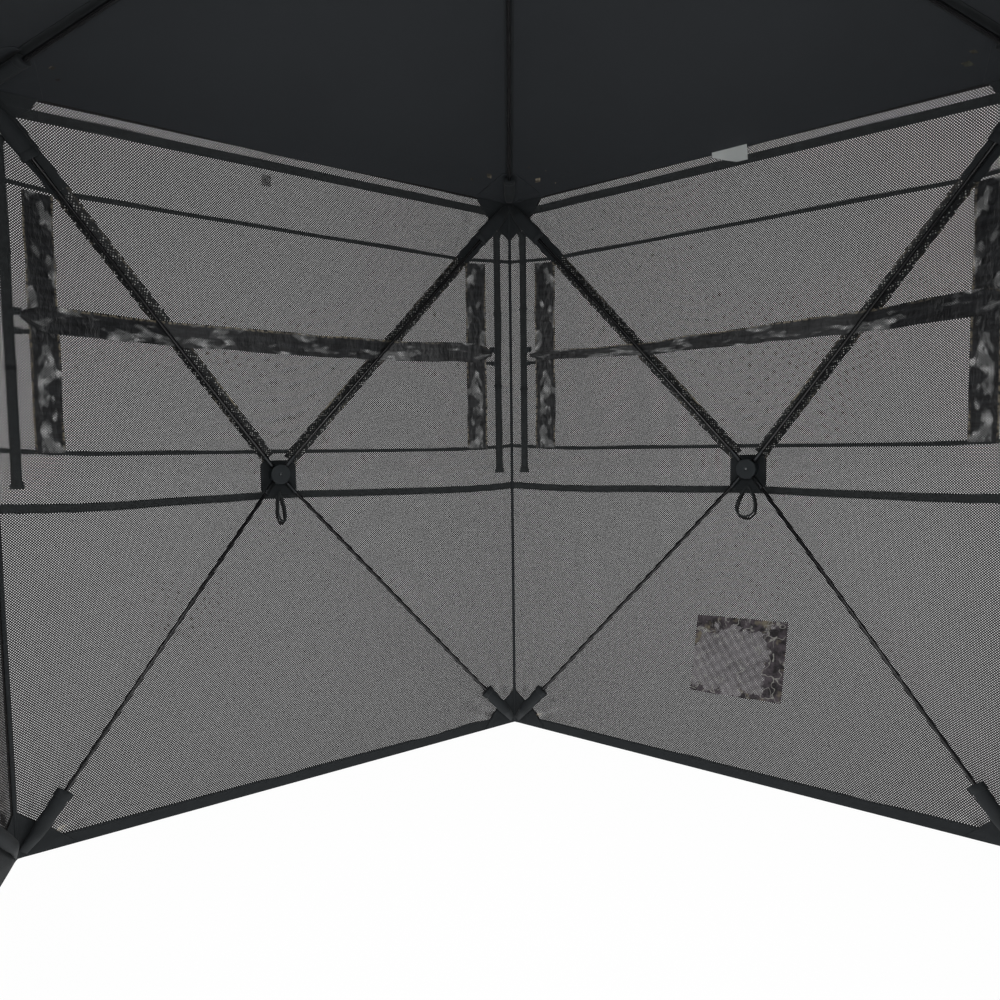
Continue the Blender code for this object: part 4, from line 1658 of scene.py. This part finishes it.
def build_pull_loop(side):
    """Flattened webbing loops that pull the hub: one hanging inside, one outside."""
    size = sizes()
    normal = outward(SIDES[side])
    half = LOOP_WIDTHS[side] / 2
    top = HUB_HEIGHT - 0.010 - size.hub_patch / 2 + 0.010
    loops = (("inner", 0.010, size.loop_length), ("outer", -0.007, size.loop_length * 1.1))
    for where, inside, length in loops:
        path = []
        for share in spread(0.0, 1.0, 41):
            turn = math.tau * share
            down = (1 - math.cos(turn)) / 2
            across = half * math.sin(turn) * (0.30 + 0.70 * down)
            height = top - length * down
            base = BULGE * share_to_hub(0, min(height, HUB_HEIGHT))
            sway = 0.003 * math.sin(turn)
            path.append(wall_point(side, across, base - inside + sway, height))
        bm = bmesh.new()
        lay_tube(bm, path, 0.0030, 0.0012, 10, normal)
        piece = add_piece(f"{side}_pull_loop_{where}", bm, [FINISHES["webbing"]])
        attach(piece, f"{side}_hub")


# ------------------------------------------------------------------ small sewn parts


def build_small_parts():
    """The blank tag, the spare printed patch, a repair square, and the stake loops."""
    build_tag()
    build_spare_patch()
    build_stake_loops()


def build_tag():
    """A blank folded tag hanging from the roof's edge."""
    side = "back_right"
    across = 0.013
    rows = []
    for down in spread(0.0, 1.0, 9):
        row = []
        for a in spread(-0.031, 0.057, 23):
            foot = 1.5645 + max(0.0, (0.030 - a) * 0.38)
            row.append((a, CORNER_HEIGHT - 0.001 + (foot - CORNER_HEIGHT) * down))
        rows.append(row)

    def place(a, h, extra):
        curl = 0.003 * math.sin(60 * (a - across)) * (CORNER_HEIGHT - h) / 0.035
        return cloth_point(side, a, h, TAG_INSIDE + curl + extra)

    piece = cloth_piece("blank_tag", [rows], place, 0.0005, [FINISHES["label"]])
    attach(piece, "skins")


def build_spare_patch():
    """A square of printed mesh sewn low on one wall, and a small repair square high on another."""
    side = "back_right"
    across, height = 0.018, 0.298
    rows = [[(a, h) for a in spread(-0.122, 0.122, 21)] for h in spread(-0.100, 0.100, 19)]

    def place(a, h, extra):
        lean = 0.010 * a / 0.122
        return cloth_point(side, across + a, height + h + lean * 0.4, SPARE_INSIDE + extra)

    piece = cloth_piece("spare_mesh_patch", [rows], place, 0.0006, [FINISHES["spare"]])
    blend_on_wall(piece, side, SPARE_INSIDE)
    rows = octagon_rows(0.024, 0.002, -0.070, 1.533, 5)
    place = on_wall("back_left", REPAIR_INSIDE)
    square = cloth_piece("repair_square", [rows], place, 0.0006, [FINISHES["mesh_in"]])
    blend_on_wall(square, "back_left", REPAIR_INSIDE)


def build_stake_loops():
    """A webbing loop at the foot of each corner, lying on the floor."""
    for corner, angle in CORNERS.items():
        way = outward(angle)
        side_way = way.cross(UP)
        path = []
        for share in spread(0.0, 1.0, 21):
            turn = math.pi * share
            out = 0.040 * math.sin(turn)
            aside = side_way * (0.016 * math.cos(turn))
            path.append(Vector((0, MIDDLE_Y, 0.0115)) + way * (SEAM_RADIUS - 0.004 + out) + aside)
        bm = bmesh.new()
        ribbon_loop(bm, path, UP, 0.018, 0.0013)
        piece = add_piece(f"stake_loop_{corner}", bm, [FINISHES["webbing"]])
        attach(piece, "skins")


# ------------------------------------------------------------------ stage


def build_floor():
    """A large pale floor that glows softly."""
    light = studio()
    finish = Finish("studio_floor", 0.9)
    cloudy = finish.noise(finish.space(), 0.4, 2.0)
    tint = colours().floor
    finish.put("Base Color", finish.mix(cloudy, shade(tint, 0.99), shade(tint, 1.01)))
    finish.shader.inputs["Emission Color"].default_value = (1, 1, 1, 1)
    finish.shader.inputs["Emission Strength"].default_value = light.floor_glow
    finish.shader.inputs["Specular IOR Level"].default_value = 0.0
    bm = bmesh.new()
    bmesh.ops.create_circle(bm, cap_ends=True, segments=96, radius=30.0)
    bmesh.ops.translate(bm, verts=bm.verts, vec=(0, 0, -0.0005))
    mesh = bpy.data.meshes.new("studio_floor")
    bm.to_mesh(mesh)
    bm.free()
    mesh.materials.append(finish.material)
    floor = bpy.data.objects.new("studio_floor", mesh)
    bpy.context.scene.collection.objects.link(floor)


def add_soft_light(name, place, aim, size, power):
    """A soft square light that isn't seen itself."""
    data = bpy.data.lights.new(name, "AREA")
    data.shape = "SQUARE"
    data.size = size
    data.energy = power
    lamp = bpy.data.objects.new(name, data)
    lamp.location = place
    lamp.rotation_euler = (Vector(aim) - Vector(place)).to_track_quat("-Z", "Y").to_euler()
    lamp.visible_camera = False
    bpy.context.scene.collection.objects.link(lamp)


def build_camera():
    """The camera, just behind the door wall's peak, looking level across the blind."""
    view = studio()
    turn = Matrix.Rotation(view.pan, 3, "Z")
    tip = Matrix.Rotation(-view.tilt, 3, "X")
    lean = Matrix.Rotation(-view.roll, 3, "Y")
    axes = turn @ tip @ lean
    right, forward, up = (axes @ Vector(way) for way in ((1, 0, 0), (0, 1, 0), (0, 0, 1)))
    place = Matrix((right, up, -forward)).transposed().to_4x4()
    place.translation = Vector((-view.eye_side, MIDDLE_Y - view.eye_back, view.eye_height))
    data = bpy.data.cameras.new("camera")
    data.sensor_width = 36.0
    data.lens = view.lens
    data.clip_start = view.near
    data.clip_end = 100.0
    camera = bpy.data.objects.new("camera", data)
    camera.matrix_world = place
    bpy.context.scene.collection.objects.link(camera)
    bpy.context.scene.camera = camera


def build_stage():
    """Floor, white surroundings, soft lights and the camera."""
    light = studio()
    build_floor()
    world = bpy.data.worlds.new("studio")
    world.use_nodes = True
    world.node_tree.nodes["Background"].inputs["Color"].default_value = (1, 1, 1, 1)
    world.node_tree.nodes["Background"].inputs["Strength"].default_value = light.sky
    bpy.context.scene.world = world
    bpy.context.scene.view_settings.view_transform = "Standard"
    add_soft_light("inner_fill", (0.0, -0.80, 1.30), (0, 0.9, 0.6), 0.5, light.fill)
    add_soft_light("outer_key", (-4.0, -4.6, 5.2), (0, 0, 0.8), 3.0, light.key)
    add_soft_light("outer_back", (4.2, 4.4, 4.6), (0, 0, 0.8), 3.0, light.key * 0.6)
    build_camera()


# ------------------------------------------------------------------ operators


class GROUND_BLIND_OT_stage(bpy.types.Operator):
    """Make the studio floor, lights and camera"""

    bl_idname = "ground_blind.stage"
    bl_label = "Stage"
    bl_options = {"REGISTER", "UNDO"}

    def execute(self, context):
        build_stage()
        return {"FINISHED"}


class GROUND_BLIND_OT_finishes(bpy.types.Operator):
    """Make every finish from the colours"""

    bl_idname = "ground_blind.finishes"
    bl_label = "Finishes"
    bl_options = {"REGISTER", "UNDO"}

    def execute(self, context):
        make_finishes()
        return {"FINISHED"}


class GROUND_BLIND_OT_walls(bpy.types.Operator):
    """Make the see-through cloth of the walls"""

    bl_idname = "ground_blind.walls"
    bl_label = "Walls"
    bl_options = {"REGISTER", "UNDO"}

    def execute(self, context):
        build_walls()
        return {"FINISHED"}


class GROUND_BLIND_OT_roof(bpy.types.Operator):
    """Make the roof's cloth, binding and patches"""

    bl_idname = "ground_blind.roof"
    bl_label = "Roof"
    bl_options = {"REGISTER", "UNDO"}

    def execute(self, context):
        build_roof()
        return {"FINISHED"}


class GROUND_BLIND_OT_door(bpy.types.Operator):
    """Make the door with its zip"""

    bl_idname = "ground_blind.door"
    bl_label = "Door"
    bl_options = {"REGISTER", "UNDO"}

    def execute(self, context):
        build_door()
        return {"FINISHED"}


class GROUND_BLIND_OT_webbing(bpy.types.Operator):
    """Make the bands, tapes and straps"""

    bl_idname = "ground_blind.webbing"
    bl_label = "Webbing"
    bl_options = {"REGISTER", "UNDO"}

    def execute(self, context):
        build_webbing()
        return {"FINISHED"}


class GROUND_BLIND_OT_hems(bpy.types.Operator):
    """Make the hems and the corner bindings"""

    bl_idname = "ground_blind.hems"
    bl_label = "Hems"
    bl_options = {"REGISTER", "UNDO"}

    def execute(self, context):
        build_hems()
        return {"FINISHED"}


class GROUND_BLIND_OT_patches(bpy.types.Operator):
    """Make the patches and the rod backings"""

    bl_idname = "ground_blind.patches"
    bl_label = "Patches"
    bl_options = {"REGISTER", "UNDO"}

    def execute(self, context):
        build_patches()
        return {"FINISHED"}


class GROUND_BLIND_OT_strips(bpy.types.Operator):
    """Make the gathered strips and their hooks"""

    bl_idname = "ground_blind.strips"
    bl_label = "Window Strips"
    bl_options = {"REGISTER", "UNDO"}

    def execute(self, context):
        build_window_strips()
        return {"FINISHED"}


class GROUND_BLIND_OT_curtains(bpy.types.Operator):
    """Make the upright curtains"""

    bl_idname = "ground_blind.curtains"
    bl_label = "Curtains"
    bl_options = {"REGISTER", "UNDO"}

    def execute(self, context):
        build_curtains()
        return {"FINISHED"}


class GROUND_BLIND_OT_rods(bpy.types.Operator):
    """Make the rods and their pockets"""

    bl_idname = "ground_blind.rods"
    bl_label = "Rods"
    bl_options = {"REGISTER", "UNDO"}

    def execute(self, context):
        build_rods()
        return {"FINISHED"}


class GROUND_BLIND_OT_hubs(bpy.types.Operator):
    """Finish the hubs and add screws and pull loops"""

    bl_idname = "ground_blind.hubs"
    bl_label = "Hubs"
    bl_options = {"REGISTER", "UNDO"}

    def execute(self, context):
        build_hubs()
        return {"FINISHED"}


class GROUND_BLIND_OT_small_parts(bpy.types.Operator):
    """Make the tag, spare patch and stake loops"""

    bl_idname = "ground_blind.small_parts"
    bl_label = "Small Parts"
    bl_options = {"REGISTER", "UNDO"}

    def execute(self, context):
        build_small_parts()
        return {"FINISHED"}


PIECE_OPERATORS = (
    GROUND_BLIND_OT_stage,
    GROUND_BLIND_OT_finishes,
    GROUND_BLIND_OT_walls,
    GROUND_BLIND_OT_roof,
    GROUND_BLIND_OT_door,
    GROUND_BLIND_OT_webbing,
    GROUND_BLIND_OT_hems,
    GROUND_BLIND_OT_patches,
    GROUND_BLIND_OT_strips,
    GROUND_BLIND_OT_curtains,
    GROUND_BLIND_OT_rods,
    GROUND_BLIND_OT_hubs,
    GROUND_BLIND_OT_small_parts,
)


class GROUND_BLIND_PT_pieces(bpy.types.Panel):
    """Lists the blind's builders and its settings."""

    bl_label = "Ground Blind"
    bl_space_type = "VIEW_3D"
    bl_region_type = "UI"
    bl_category = "Ground Blind"

    def draw(self, context):
        for piece in PIECE_OPERATORS:
            self.layout.operator(piece.bl_idname)
        for group in (sizes(), colours(), studio()):
            box = self.layout.box()
            for name in group.__annotations__:
                box.prop(group, name)


SETTING_CLASSES = (BlindSizes, BlindColours, BlindStudio)


def register():
    for cls in (*SETTING_CLASSES, *PIECE_OPERATORS, GROUND_BLIND_PT_pieces):
        bpy.utils.register_class(cls)
    bpy.types.Scene.blind_sizes = PointerProperty(type=BlindSizes)
    bpy.types.Scene.blind_colours = PointerProperty(type=BlindColours)
    bpy.types.Scene.blind_studio = PointerProperty(type=BlindStudio)


def unregister():
    for name in ("blind_sizes", "blind_colours", "blind_studio"):
        delattr(bpy.types.Scene, name)
    for cls in reversed((*SETTING_CLASSES, *PIECE_OPERATORS, GROUND_BLIND_PT_pieces)):
        bpy.utils.unregister_class(cls)


def main():
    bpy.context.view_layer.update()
    register()
    blind = bpy.ops.ground_blind
    blind.stage()
    blind.finishes()
    blind.walls()
    blind.roof()
    blind.door()
    blind.webbing()
    blind.hems()
    blind.patches()
    blind.strips()
    blind.curtains()
    blind.rods()
    blind.hubs()
    blind.small_parts()


if __name__ == "__main__":
    main()
